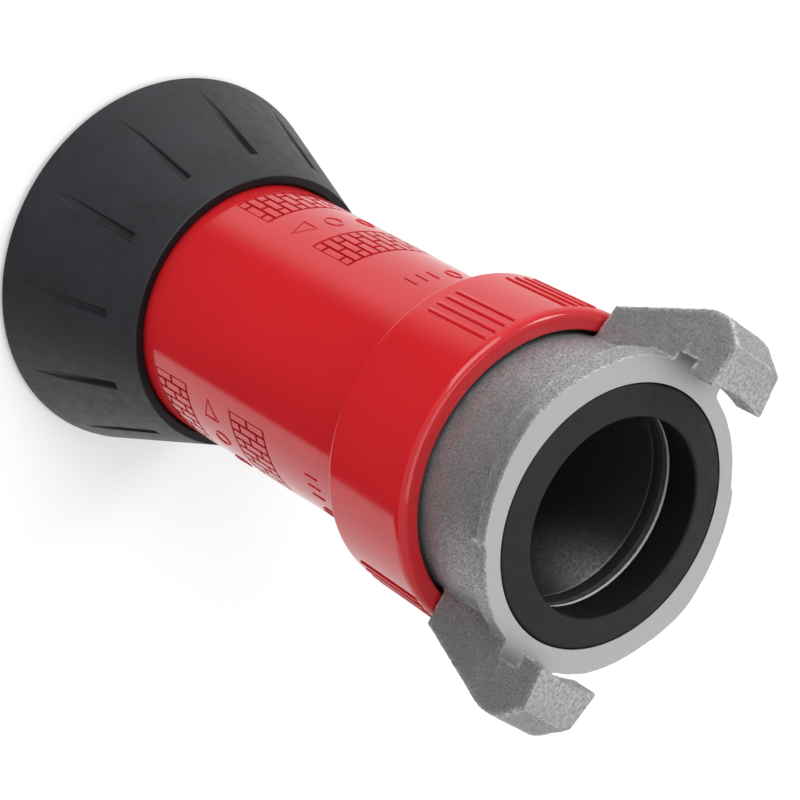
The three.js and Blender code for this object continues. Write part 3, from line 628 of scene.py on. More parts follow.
class SurfaceGraph:
    """A material's node tree under construction, on Object coordinates."""

    def __init__(self, name: str, **values: object) -> None:
        """Starts a material with one Principled shader.

        Args:
            name: Name of the material.
            values: Values of the shader's own sockets, with _ for a space.
        """
        self.material = bpy.data.materials.new(name)
        self.material.use_nodes = True
        self.tree = self.material.node_tree
        self.tree.nodes.clear()
        self.shader = self.tree.nodes.new("ShaderNodeBsdfPrincipled")
        output = self.tree.nodes.new("ShaderNodeOutputMaterial")
        self.tree.links.new(self.shader.outputs[0], output.inputs["Surface"])
        self.place = self.tree.nodes.new("ShaderNodeTexCoord").outputs["Object"]
        self.normal: Optional[Socket] = None
        for key, value in values.items():
            self.shader.inputs[key.replace("_", " ")].default_value = value

    def squeezed(self, x: float, y: float, z: float) -> Socket:
        """Object coordinates scaled by three factors, for a pattern that is drawn out."""
        node = self.tree.nodes.new("ShaderNodeMapping")
        node.inputs["Scale"].default_value = (x, y, z)
        self.tree.links.new(self.place, node.inputs["Vector"])
        return node.outputs[0]

    def noise(
        self, size: float, detail: float = 2.0, place: Optional[Socket] = None
    ) -> Socket:
        """Soft noise.

        Args:
            size: Size of its blotches in millimetres.
            detail: How many finer layers it has.
            place: Coordinates to read; Object coordinates when left out.

        Returns:
            A value from 0 to 1.
        """
        node = self.tree.nodes.new("ShaderNodeTexNoise")
        node.inputs["Scale"].default_value = 1 / (size * MM)
        node.inputs["Detail"].default_value = detail
        self.tree.links.new(place or self.place, node.inputs["Vector"])
        return node.outputs["Fac"]

    def grains(self, size: float) -> Socket:
        """Distance to the nearest of many scattered points, for sand grain and pits."""
        node = self.tree.nodes.new("ShaderNodeTexVoronoi")
        node.inputs["Scale"].default_value = 1 / (size * MM)
        self.tree.links.new(self.place, node.inputs["Vector"])
        return node.outputs["Distance"]

    def span(
        self, value: Socket, low: float, high: float, start: float = 0.0, end: float = 1.0
    ) -> Socket:
        """Maps a value from one range to another, clamped.

        Args:
            value: The value to map.
            low: Result at start.
            high: Result at end.
            start: Lower end of the value's range.
            end: Upper end of the value's range.

        Returns:
            The mapped value.
        """
        node = self.tree.nodes.new("ShaderNodeMapRange")
        self.tree.links.new(value, node.inputs["Value"])
        for key, number in zip(("From Min", "From Max", "To Min", "To Max"), (start, end, low, high)):
            node.inputs[key].default_value = number
        return node.outputs[0]

    def math(self, operation: str, a: object, b: object) -> Socket:
        """The result of a math node on two numbers or sockets."""
        node = self.tree.nodes.new("ShaderNodeMath")
        node.operation = operation
        for socket, value in zip(node.inputs, (a, b)):
            if isinstance(value, Socket):
                self.tree.links.new(value, socket)
            else:
                socket.default_value = value
        return node.outputs[0]

    def vector(
        self, operation: str, a: Socket, b: Colour = (0.0, 0.0, 0.0)
    ) -> bpy.types.bpy_prop_collection:
        """The vector and the value that a vector math node gives for a socket and three numbers."""
        node = self.tree.nodes.new("ShaderNodeVectorMath")
        node.operation = operation
        self.tree.links.new(a, node.inputs[0])
        node.inputs[1].default_value = b
        return node.outputs

    def colours(
        self, factor: Socket, first: object, second: object
    ) -> Socket:
        """Blends two colours, each a value or a socket, by a factor."""
        node = self.tree.nodes.new("ShaderNodeMix")
        node.data_type = "RGBA"
        self.tree.links.new(factor, node.inputs["Factor"])
        for socket, colour in ((node.inputs[6], first), (node.inputs[7], second)):
            if isinstance(colour, Socket):
                self.tree.links.new(colour, socket)
            else:
                socket.default_value = (*colour, 1.0)
        return node.outputs[2]

    def drive(self, socket: str, source: Socket) -> None:
        """Links a value or colour to one of the shader's sockets."""
        self.tree.links.new(source, self.shader.inputs[socket])

    def relief(self, height: Socket, depth: float) -> None:
        """Adds one layer of bump.

        Args:
            height: Height from 0 to 1.
            depth: What 1 stands for, in millimetres.
        """
        node = self.tree.nodes.new("ShaderNodeBump")
        node.inputs["Strength"].default_value = 1.0
        node.inputs["Distance"].default_value = depth * MM
        self.tree.links.new(height, node.inputs["Height"])
        if self.normal is not None:
            self.tree.links.new(self.normal, node.inputs["Normal"])
        self.normal = node.outputs[0]
        self.tree.links.new(self.normal, self.shader.inputs["Normal"])


def shade(colour: Colour, factor: float) -> Colour:
    """A colour made lighter or darker by a factor."""
    return tuple(min(1.0, part * factor) for part in colour)


@dataclass(frozen=True)
class GlossyPlastic:
    """Moulded and polished plastic: faint flow marks, sink waves along the piece, fine scuffs."""

    name: str = "polished red plastic"
    colour: Colour = (0.50, 0.0135, 0.0185)
    roughness: float = 0.1
    wave_size: float = 6.0
    wave_depth: float = 0.022
    scuff_size: float = 0.5

    def material(self) -> bpy.types.Material:
        """Builds the material."""
        graph = SurfaceGraph(self.name, IOR=1.5)
        flow = graph.noise(18.0, 3.0, graph.squeezed(1.0, 1.0, 0.35))
        graph.drive("Base Color", graph.colours(flow, shade(self.colour, 0.9), shade(self.colour, 1.1)))
        scuffs = graph.noise(self.scuff_size, 4.0, graph.squeezed(1.0, 1.0, 0.2))
        low, high = self.roughness * 0.8, self.roughness * 1.6
        graph.drive("Roughness", graph.span(scuffs, low, high, 0.35, 0.75))
        graph.relief(graph.noise(self.wave_size, 1.0, graph.squeezed(1.0, 1.0, 0.12)), self.wave_depth)
        graph.relief(graph.noise(0.35, 2.0), 0.0006)
        return graph.material


@dataclass(frozen=True)
class MattRubber:
    """Moulded rubber or nylon: a fine matt grain, cloudy tone and paler worn patches."""

    name: str
    colour: Colour
    roughness: float = 0.55
    grain_size: float = 0.22
    grain_depth: float = 0.008
    cloud_size: float = 14.0
    specular: float = 0.5

    def material(self) -> bpy.types.Material:
        """Builds the material."""
        graph = SurfaceGraph(self.name, IOR=1.5, Specular_IOR_Level=self.specular)
        cloud = graph.span(graph.noise(self.cloud_size, 4.0), 0.0, 1.0, 0.3, 0.7)
        graph.drive("Base Color", graph.colours(cloud, shade(self.colour, 0.85), shade(self.colour, 1.18)))
        low, high = self.roughness * 0.88, self.roughness * 1.12
        graph.drive("Roughness", graph.span(graph.noise(3.0, 3.0), low, high, 0.3, 0.7))
        graph.relief(graph.noise(self.grain_size, 3.0), self.grain_depth)
        return graph.material


@dataclass(frozen=True)
class TubeWithPaintedHighlight:
    """Black moulded tube with a painted highlight: grainy grey on one side of its inlet, where light falls on
    the bore wall.
    """

    name: str = "moulded tube"
    colour: Colour = (0.032, 0.032, 0.036)
    highlight_colour: Colour = (0.32, 0.32, 0.33)
    roughness: float = 0.34
    middle: float = 58.0           # degrees round the axis of the middle of the painted highlight
    start: float = 133.0           # height where the painted highlight starts, and where it is full
    full: float = 158.0
    sharpness: float = 22.0

    def material(self) -> bpy.types.Material:
        """Builds the material."""
        graph = SurfaceGraph(self.name, IOR=1.5)
        parts = graph.tree.nodes.new("ShaderNodeSeparateXYZ")
        graph.tree.links.new(graph.place, parts.inputs[0])
        turn = math.radians(self.middle)
        level = graph.vector("NORMALIZE", graph.vector("MULTIPLY", graph.place, (1.0, 1.0, 0.0))[0])[0]
        facing = graph.vector("DOT_PRODUCT", level, (math.cos(turn), math.sin(turn), 0.0))[1]
        lobe = graph.math("POWER", graph.span(facing, 0.0, 1.0), self.sharpness)
        rise = graph.span(parts.outputs["Z"], 0.0, 1.0, self.start * MM, self.full * MM)
        grain = graph.span(graph.noise(0.55, 3.0), 0.35, 1.0, 0.36, 0.62)
        # painted highlight: how much grey is blended in, by side, height and grain
        highlight_amount = graph.math("MULTIPLY", graph.math("MULTIPLY", lobe, rise), grain)
        graph.drive("Base Color", graph.colours(highlight_amount, self.colour, self.highlight_colour))
        rough = self.roughness
        graph.drive("Roughness", graph.span(graph.noise(3.0, 3.0), rough * 0.85, rough * 1.2))
        graph.relief(graph.noise(0.5, 3.0), 0.05)
        return graph.material


@dataclass(frozen=True)
class SandCastMetal:
    """Sand-cast aluminium: bright grain over a dull skin, pits and cloudy tone."""

    name: str = "sand-cast aluminium"
    colour: Colour = (0.46, 0.46, 0.47)
    dark: Colour = (0.22, 0.22, 0.23)
    worn: Colour = (0.80, 0.80, 0.80)
    wear: str = "edge_wear"        # attribute that says how exposed an edge is
    grain_size: float = 0.4
    grain_depth: float = 0.09
    roughness: float = 0.52

    def material(self) -> bpy.types.Material:
        """Builds the material."""
        graph = SurfaceGraph(self.name, Metallic=0.72)
        grain = graph.noise(self.grain_size, 3.0)
        speck = graph.span(grain, 0.0, 1.0, 0.36, 0.62)
        cloud = graph.span(graph.noise(9.0, 3.0), 0.0, 1.0, 0.25, 0.75)
        skin = graph.colours(cloud, shade(self.colour, 0.88), shade(self.colour, 1.12))
        exposed = graph.tree.nodes.new("ShaderNodeAttribute")
        exposed.attribute_name = self.wear
        patches = graph.span(graph.noise(0.9, 4.0), 0.0, 1.0, 0.38, 0.6)
        ragged = graph.math("MULTIPLY", exposed.outputs["Fac"], patches)
        skinned = graph.colours(speck, self.dark, skin)
        graph.drive("Base Color", graph.colours(ragged, skinned, self.worn))
        graph.drive("Roughness", graph.span(grain, self.roughness * 1.25, self.roughness * 0.75, 0.35, 0.7))
        graph.relief(graph.noise(4.0, 2.0), 0.12)
        graph.relief(grain, self.grain_depth)
        graph.relief(graph.span(graph.grains(1.3), 0.0, 1.0, 0.0, 0.28), 0.05)
        return graph.material


@dataclass(frozen=True)
class MachinedMetal:
    """Turned or drawn metal: fine tool marks round the axis and a faint handling haze."""

    name: str
    colour: Colour
    roughness: float = 0.34
    mark_size: float = 0.5
    mark_depth: float = 0.004
    metallic: float = 1.0

    def material(self) -> bpy.types.Material:
        """Builds the material."""
        graph = SurfaceGraph(self.name, Metallic=self.metallic)
        haze = graph.noise(1.4, 5.0)
        graph.drive("Base Color", graph.colours(haze, shade(self.colour, 0.86), shade(self.colour, 1.14)))
        low, high = self.roughness * 0.92, self.roughness * 1.1
        graph.drive("Roughness", graph.span(haze, low, high, 0.3, 0.7))
        wave = graph.tree.nodes.new("ShaderNodeTexWave")
        wave.wave_type = "RINGS"
        wave.rings_direction = "Z"
        wave.inputs["Scale"].default_value = 1 / (self.mark_size * MM) / TURN
        wave.inputs["Distortion"].default_value = 0.6
        graph.tree.links.new(graph.place, wave.inputs["Vector"])
        graph.relief(wave.outputs["Fac"], self.mark_depth)
        graph.relief(graph.noise(0.3, 2.0), 0.003)
        return graph.material


@dataclass(frozen=True)
class PressedFibre:
    """Pressed fibre board: dull, with short hairs of a second tone."""

    name: str = "pressed fibre"
    colour: Colour = (0.009, 0.008, 0.008)

    def material(self) -> bpy.types.Material:
        """Builds the material."""
        graph = SurfaceGraph(self.name, Roughness=0.9)
        hairs = graph.span(graph.noise(0.6, 5.0, graph.squeezed(1.0, 1.0, 4.0)), 0.0, 1.0, 0.35, 0.65)
        graph.drive("Base Color", graph.colours(hairs, shade(self.colour, 0.7), shade(self.colour, 1.3)))
        graph.relief(hairs, 0.02)
        return graph.material


RED = GlossyPlastic()
BUMPER_RUBBER = MattRubber("bumper rubber", (0.020, 0.021, 0.025), 0.52, specular=0.4)
SEAL_RUBBER = MattRubber("seal rubber", (0.0075, 0.0078, 0.0100), 0.56, 0.3, 0.012, specular=0.3)
# painted shade: near-black rubber for the bumper's rear end face, darker than the rest of the bumper
BUMPER_END_SHADE = MattRubber("bumper end", (0.004, 0.004, 0.005), 0.45, specular=0.25)
# also paints shade on the collar's skirt bore
RING_RUBBER = MattRubber("ring rubber", (0.014, 0.014, 0.015), 0.42)
NYLON = MattRubber("black nylon", (0.0085, 0.0085, 0.009), 0.42, 0.55, 0.03, 6.0)
# the inlet tube, with a painted highlight on one side of its bore
TUBE_NYLON = TubeWithPaintedHighlight()
CAST = SandCastMetal()
GROUND = SandCastMetal(
    "ground aluminium", (0.31, 0.31, 0.32), (0.25, 0.25, 0.26), (0.44, 0.44, 0.44), grain_depth=0.02
)
# painted highlight: the lip's thin cut edge is real machined aluminium, made near white and barely metallic
# so it shows as a bright crescent in the dark bore
BRIGHT = MachinedMetal("bright cut edge", (0.85, 0.85, 0.85), 0.5, metallic=0.1)
MACHINED = MachinedMetal("machined aluminium", (0.43, 0.43, 0.435), 0.5, 0.5, 0.006)
STEEL = MachinedMetal("stainless steel", (0.56, 0.56, 0.57), 0.24)
BRASS = MachinedMetal("brass", (0.66, 0.46, 0.17), 0.28)
FIBRE = PressedFibre()

Finish = GlossyPlastic | MattRubber | TubeWithPaintedHighlight | SandCastMetal | MachinedMetal | PressedFibre


class Paintbox:
    """Builds each finish once."""

    def __init__(self) -> None:
        """Starts with no materials."""
        self.made: dict[str, bpy.types.Material] = {}

    def get(self, finish: Finish) -> bpy.types.Material:
        """The material of a finish, built on first use."""
        if finish.name not in self.made:
            self.made[finish.name] = finish.material()
        return self.made[finish.name]


PAINTS = Paintbox()


def dress(piece: Piece, *finishes: Finish) -> Piece:
    """Gives a piece its finishes, in the order of its material indices.

    Args:
        piece: The object.
        finishes: One or more finishes.

    Returns:
        The same object.
    """
    slots = piece.data.materials
    for i, finish in enumerate(finishes):
        if i < len(slots):
            slots[i] = PAINTS.get(finish)
        else:
            slots.append(PAINTS.get(finish))
    return piece


def seat(piece: Piece, body: Body, slot: Slot, *nodes: str) -> Piece:
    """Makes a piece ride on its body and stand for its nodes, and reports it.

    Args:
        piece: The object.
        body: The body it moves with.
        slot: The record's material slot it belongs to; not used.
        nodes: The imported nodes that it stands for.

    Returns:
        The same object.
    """
    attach(piece, body.value)
    if nodes:
        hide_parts(*nodes)
    LOG.info("%s: %d faces on %s", piece.name, len(piece.data.polygons), body.value)
    return piece


@dataclass(frozen=True)
class Extent:
    """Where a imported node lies: its lowest and highest point on Z and its widest radius, in mm."""

    front: float
    rear: float
    radius: float

    @staticmethod
    def of(node: str) -> "Extent":
        """Reads a node's box."""
        low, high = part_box(node)
        return Extent(low.z / MM, high.z / MM, max(high.x, -low.x, high.y, -low.y) / MM)


# ---- coupling ----


@dataclass
class Coupling:
    """The cast head with its two claws, the seal, and the lock screw in its side."""

    body_radius: float = 33.0
    seal_radius: float = 30.7
    seal_bore: float = 23.2
    seal_root: float = 24.9
    seal_proud: float = 1.1
    lip_bore: float = 25.2
    lip: float = 2.4
    bright: float = 0.7            # height of the cut edge at the lip's bore, painted near white as a highlight
    socket_radius: float = 29.1
    socket_half: float = 1.15          # the hexagon socket, centre to corner, and its depth
    socket_depth: float = 1.4
    claw_reach: float = 13.0
    claw_radius: float = 49.4
    claw_foot: float = 40.4
    claw_tip: float = 44.2
    claw_shoulder: float = 6.5
    claw_round: float = 6.0
    hook_start: float = 1.0        # the hook is a little wider than the arm from here on
    hook_step: float = 0.55
    claw_lip: float = 35.5
    claw_width: float = 18.4
    claw_top_width: float = 13.6
    slot: float = 6.0
    slot_radius: float = 38.8
    ledge_thin: float = 3.0
    ledge_thick: float = 8.0
    ledge_fillet: float = 2.0
    notch: float = 58.0
    stock: float = 1.2             # extra casting that the machining takes off
    voxel: float = 0.46
    smoothing: int = 9
    uneven: float = 0.10
    dent_size: float = 2.4
    pock_size: float = 0.9

    def __post_init__(self) -> None:
        """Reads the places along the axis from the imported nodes."""
        head = Extent.of("coupling_head")
        seal = Extent.of("coupling_seal")
        screw = Extent.of("coupling_lock_screw")
        self.tips = head.rear
        self.face = head.rear - self.claw_reach
        self.skirt = head.front
        self.foot = Extent.of("collar").rear + GAP
        self.seal_front = seal.front
        self.seat = seal.front - GAP
        self.screw_height = (screw.front + screw.rear) / 2
        self.screw_radius = (screw.rear - screw.front) / 2
        self.screw_depth = screw.radius

    def build(self) -> None:
        """Makes and seats the head, the seal and the lock screw."""
        head = self.machine(self.casting())
        seat(dress(head, CAST, MACHINED, GROUND, BRIGHT), Body.BASE, Slot.ALUMINIUM, "coupling_head")
        seat(dress(self.seal(), SEAL_RUBBER), Body.BASE, Slot.SEAL, "coupling_seal")
        seat(dress(self.lock_screw(), STEEL), Body.BASE, Slot.STEEL, "coupling_lock_screw")

    def ledge_outline(self, past: np.ndarray) -> np.ndarray:
        """Radius of the face's outline, so many degrees past the middle of a claw."""
        degrees = [0, 16, 56, 58, 80, 96, 104, 116, 128, 150, 180]
        radii = [36, 35.2, 34.8, 35.6, 36.3, 37.3, 37.8, 37.3, 36.9, 37.2, 36]
        return np.interp(past, degrees, radii)

    def ledge(self) -> Piece:
        """The spiral ledge: thin at its notch and thicker towards the next claw."""
        angles = even_angles(2 * FINE)
        past = (-np.degrees(angles)) % 180
        climb = np.where(past < self.notch, 0.5, (past - self.notch) / (180 - self.notch))
        thick = self.ledge_thin + (self.ledge_thick - self.ledge_thin) * climb
        outer = self.ledge_outline(past)
        inner = np.full_like(outer, self.body_radius - 2)
        top = np.full_like(outer, self.face + self.stock)
        rings = [
            (inner, top), (outer, top), (outer, self.face - thick),
            (inner, self.face - thick - self.ledge_fillet - 1),
        ]
        points = np.stack(
            [np.stack([r * np.cos(angles), r * np.sin(angles), z], axis=-1) for r, z in rings], axis=1
        )
        return new_object("ledge", grid_mesh("ledge", points))

    def claw(self, turn: float) -> Piece:
        """One claw as cast, with extra stock at its end.

        Args:
            turn: Angle round Z in radians.

        Returns:
            The object.
        """
        inner = self.body_radius - 2
        bevel = (self.claw_radius - self.claw_tip) / (self.claw_reach - self.claw_shoulder)
        tip = self.claw_tip - bevel * self.stock
        side = rounded([
            Corner(inner, self.foot), Corner(self.claw_foot, self.foot, 1.0),
            Corner(self.claw_radius, self.face, self.claw_round),
            Corner(self.claw_radius, self.face + self.claw_shoulder, self.claw_round),
            Corner(tip, self.tips + self.stock), Corner(inner, self.tips + self.stock),
        ])
        start = self.face + self.hook_start
        head = rounded([
            Corner(self.claw_lip - 1, start), Corner(self.claw_radius, start),
            Corner(self.claw_radius, self.face + self.claw_shoulder, self.claw_round),
            Corner(tip, self.tips + self.stock), Corner(self.claw_lip - 1, self.tips + self.stock),
        ])
        piece = self.tapered(side, self.claw_width)
        boolean(piece, self.tapered(head, self.claw_width + 2 * self.hook_step), "UNION")
        piece.data.transform(Matrix.Rotation(turn, 4, "Z"))
        return piece

    def tapered(self, outline: np.ndarray, width: float) -> Piece:
        """A prism that narrows from the claw's lip outwards.

        Args:
            outline: Rows of [x, z].
            width: Its width at the lip.

        Returns:
            The object.
        """
        piece = prism("claw", [tuple(point) for point in outline], width)
        taper = 1 - self.claw_top_width / self.claw_width
        for vertex in piece.data.vertices:
            rise = (vertex.co.x / MM - self.claw_lip) / (self.claw_radius - self.claw_lip)
            vertex.co.y *= 1 - taper * max(0.0, rise)
        return piece

    def casting(self) -> Piece:
        """The rough casting: body, ledge and claws in one, with soft edges and fillets."""
        inner = self.seal_bore
        head = turned(
            "coupling_casting",
            [
                Corner(inner, self.skirt - 1), Corner(self.body_radius, self.skirt - 1),
                Corner(self.body_radius, self.face + self.stock), Corner(inner, self.face + self.stock),
            ],
        )
        for other in (self.ledge(), self.claw(0.0), self.claw(math.pi)):
            boolean(head, other, "UNION")
        remesh = head.modifiers.new("remesh", "REMESH")
        remesh.mode = "VOXEL"
        remesh.voxel_size = self.voxel * MM
        soften = head.modifiers.new("soften", "SMOOTH")
        soften.iterations = self.smoothing
        bake_modifiers(head)
        self.roughen(head.data)
        return head

    def roughen(self, mesh: bpy.types.Mesh) -> None:
        """Moves each point of the casting in by a little noise, so that it is never raised.

        Args:
            mesh: The casting.
        """
        count = len(mesh.vertices)
        places, normals = np.empty(3 * count), np.empty(3 * count)
        mesh.vertices.foreach_get("co", places)
        mesh.vertices.foreach_get("normal", normals)
        places, normals = places.reshape(-1, 3), normals.reshape(-1, 3)
        coarse = [noise.noise(p) for p in places / (self.dent_size * MM)]
        fine = [noise.noise(p) for p in places / (self.pock_size * MM)]
        dip = np.maximum(0, 0.5 + np.array(coarse) + 0.6 * np.array(fine))
        places -= normals * (self.uneven * MM * dip)[:, None]
        mesh.vertices.foreach_set("co", places.ravel())
        mesh.update()

    def machine(self, head: Piece) -> Piece:
        """Cuts the face, the claw hooks, the bores and the screw hole.

        Args:
            head: The rough casting.

        Returns:
            The same object, with its machined faces on the second material.
        """
        pocket = self.seal_radius + GAP
        past_tips = self.tips + 3 * self.stock
        lathe = turned(
            "lathe_cut",
            [
                Corner(0, self.skirt - OVERSHOOT), Corner(self.socket_radius, self.skirt - OVERSHOOT),
                Corner(self.socket_radius, self.seat - self.lip), Corner(self.lip_bore, self.seat - self.lip),
                Corner(self.lip_bore, self.seat - self.bright), Corner(self.lip_bore, self.seat),
                Corner(pocket, self.seat),
                Corner(pocket, self.face), Corner(self.slot_radius, self.face),
                Corner(self.slot_radius, self.face + self.slot), Corner(self.claw_lip, self.face + self.slot),
                Corner(self.claw_lip, past_tips), Corner(0, past_tips),
            ],
        )
        wide = self.claw_radius + OVERSHOOT
        above = turned("end_cut", [Corner(0, self.tips), Corner(wide, self.tips), Corner(wide, past_tips),
                                   Corner(0, past_tips)], SMALL)
        below = turned("skirt_cut", [Corner(0, self.skirt - 3), Corner(wide, self.skirt - 3),
                                     Corner(wide, self.skirt), Corner(0, self.skirt)], SMALL)
        hole = turned("screw_cut", [Corner(0, self.socket_radius - 1), Corner(self.screw_radius + GAP,
                      self.socket_radius - 1), Corner(self.screw_radius + GAP, self.body_radius + 1),
                                    Corner(0, self.body_radius + 1)], SMALL)
        hole.data.transform(self.screw_matrix())
        for cutter in (lathe, above, below, hole):
            boolean(head, cutter, "DIFFERENCE")
        self.mark_machined(head.data)
        mark_wear(head.data)
        finish_shading(head.data)
        return head

    def screw_matrix(self) -> Matrix:
        """Lays a piece that was turned about Z along +Y, at the lock screw's height."""
        turn = Matrix.Rotation(-math.pi / 2, 4, "X")
        return Matrix.Translation((0, 0, self.screw_height * MM)) @ turn

    def mark_machined(self, mesh: bpy.types.Mesh) -> None:
        """Gives the faces that the tools cut the second material, the ground claw ends the third, and the
        thin cut edge at the lip's bore the fourth, a near-white painted highlight.

        Args:
            mesh: The machined head.
        """
        levels = (self.face, self.seat, self.seat - self.lip)
        walls = (self.seal_radius + GAP, self.lip_bore, self.socket_radius)
        near = 0.02
        for face in mesh.polygons:
            centre = face.center / MM
            radius = math.hypot(centre.x, centre.y)
            flat = abs(face.normal.z) > 0.999 and any(abs(centre.z - z) < near for z in levels)
            round_wall = abs(face.normal.z) < 0.01 and any(abs(radius - r) < near for r in walls)
            ground = face.normal.z > 0.999 and abs(centre.z - self.tips) < near
            # painted highlight on the lip's thin cut edge
            bright = round_wall and centre.z > self.seat - self.bright and radius < self.lip_bore + near
            face.material_index = 3 if bright else 2 if ground else int(flat or round_wall)

    def seal(self) -> Piece:
        """The lip seal, proud of the face at its bore."""
        return turned(
            "seal_ring",
            [
                Corner(self.seal_radius, self.seal_front, 0.3), Corner(self.seal_radius, self.face, 0.5),
                Corner(self.seal_bore, self.face + self.seal_proud, 0.7),
                Corner(self.seal_root, self.seal_front, 0.3),
            ],
        )

    def lock_screw(self) -> Piece:
        """A set screw with a hexagon socket, lying along +Y."""
        floor = self.screw_depth - self.socket_depth
        start = self.socket_radius + GAP
        screw = turned(
            "lock_screw_body",
            [
                Corner(0, start), Corner(self.screw_radius, start, 0.2),
                Corner(self.screw_radius, self.screw_depth, 0.25), Corner(0, self.screw_depth),
            ],
            SMALL,
        )
        socket = turned("socket_cut", [Corner(0, floor), Corner(self.socket_half, floor),
                                       Corner(self.socket_half, self.screw_depth + 1),
                                       Corner(0, self.screw_depth + 1)], 6)
        boolean(screw, socket, "DIFFERENCE")
        screw.data.transform(self.screw_matrix())
        finish_shading(screw.data)
        return screw


# ---- collar ----


@dataclass
class Collar:
    """The red collar that holds the coupling to the tube, with its four-rib grips."""

    radius: float = 39.0
    front_radius: float = 38.4
    barrel_radius: float = 32.25
    lip: float = 1.5
    groove_depth: float = 2.0
    groove_width: float = 2.6
    skirt_bore: float = 33.3
    gap_wide: float = 0.9              # how much wider the skirt opens round the coupling
    thread_bore: float = 29.1
    web: float = 3.7
    pocket: float = 6.3
    rear_round: float = 3.0
    rib_groups: tuple[float, ...] = (-125.3, -158.4, 168.5, 54.7, 21.6, -11.5)
    ribs: int = 4
    rib_pitch: float = 4.0
    rib_width: float = 1.0
    rib_height: float = 0.42
    rib_front: float = 4.3
    rib_length: float = 21.0

    def __post_init__(self) -> None:
        """Reads the collar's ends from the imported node."""
        place = Extent.of("collar")
        self.front, self.rear = place.front, place.rear

    def build(self) -> None:
        """Makes and seats the shell and its ribs."""
        # the ring rubber on the shell is painted shade inside its skirt
        seat(dress(self.shell(), RED, RING_RUBBER), Body.BASE, Slot.RED, "collar")
        seat(dress(self.grip_ribs(), RED), Body.BASE, Slot.RED)

    def shell(self) -> Piece:
        """The collar's shell with its wiper groove, web and rounded rear edge, and painted shade inside its
        skirt.
        """
        bore = self.barrel_radius + GAP
        groove = self.front + self.lip
        web_rear = self.rear - self.pocket
        web_front = web_rear - self.web
        floor = bore + self.groove_depth
        shell = turned(
            "collar_shell",
            [
                Corner(bore, self.front, 0.3), Corner(self.front_radius, self.front, 1.0),
                Corner(self.radius, self.rear, self.rear_round),
                Corner(self.skirt_bore + self.gap_wide, self.rear, 0.5),
                Corner(self.skirt_bore + self.gap_wide, web_rear),
                Corner(self.thread_bore, web_rear), Corner(self.thread_bore, web_front),
                Corner(self.skirt_bore, web_front), Corner(self.skirt_bore, groove + self.groove_width),
                Corner(floor, groove + self.groove_width), Corner(floor, groove), Corner(bore, groove),
            ],
        )
        # painted shade: the skirt's inner faces behind the web take the black ring rubber, standing in for
        # the shadow in the gap round the coupling
        for face in shell.data.polygons:
            radius = math.hypot(face.center.x, face.center.y)
            inside = radius < (self.skirt_bore + self.gap_wide + 0.1) * MM
            face.material_index = int(inside and face.center.z > web_rear * MM)
        return shell

    def surface_radius(self, height: float) -> float:
        """Outer radius of the collar at a height."""
        share = (height - self.front) / (self.rear - self.front)
        return self.front_radius + (self.radius - self.front_radius) * share

    def rib(self) -> Piece:
        """One lengthwise rib at angle 0, rounded on top and sunk a little into the shell."""
        start = self.front + self.rib_front
        end = start + self.rib_length
        sunk = 0.4
        stations = [start, start + 0.25, start + 0.6, end - 0.6, end - 0.25, end]
        heights = [0.0, 0.72, 1.0, 1.0, 0.72, 0.0]
        across = [(-0.5, -1.0), (-0.5, 0.55), (-0.36, 0.9), (0.0, 1.0), (0.36, 0.9), (0.5, 0.55), (0.5, -1.0)]
        rows = []
        for z, lift in zip(stations, heights):
            base = self.surface_radius(z)
            row = []
            for y, up in across:
                rise = up * lift * self.rib_height if up > 0 else -sunk
                row.append(((base + rise) * MM, y * self.rib_width * MM, z * MM))
            rows.append(row)
        work = bmesh.new()
        grid = [[work.verts.new(p) for p in row] for row in rows]
        count = len(across)
        for a, b in zip(grid, grid[1:]):
            for k in range(count):
                after = (k + 1) % count
                work.faces.new([a[k], a[after], b[after], b[k]])
        work.faces.new(grid[0][::-1])
        work.faces.new(grid[-1])
        return finished("rib", work)

    def grip_ribs(self) -> Piece:
        """All groups of ribs as one piece."""
        pattern = self.rib()
        tree = ring_tree()
        first = -(self.ribs - 1) / 2 * self.rib_pitch
        groups = []
        for i, middle in enumerate(self.rib_groups):
            values = {
                "Count": self.ribs,
                "Start angle": math.radians(middle + first),
                "Pitch angle": math.radians(self.rib_pitch),
                "Piece": pattern,
                "Material": PAINTS.get(RED),
            }
            groups.append(grown(f"rib_group_{i}", tree, values))
        bpy.data.objects.remove(pattern)
        return join_meshes("collar_ribs", groups)


# ---- barrel ----


@dataclass(frozen=True)
class GripBand:
    """One band of bricks round the barrel, by its ends along the axis."""

    front: float
    rear: float


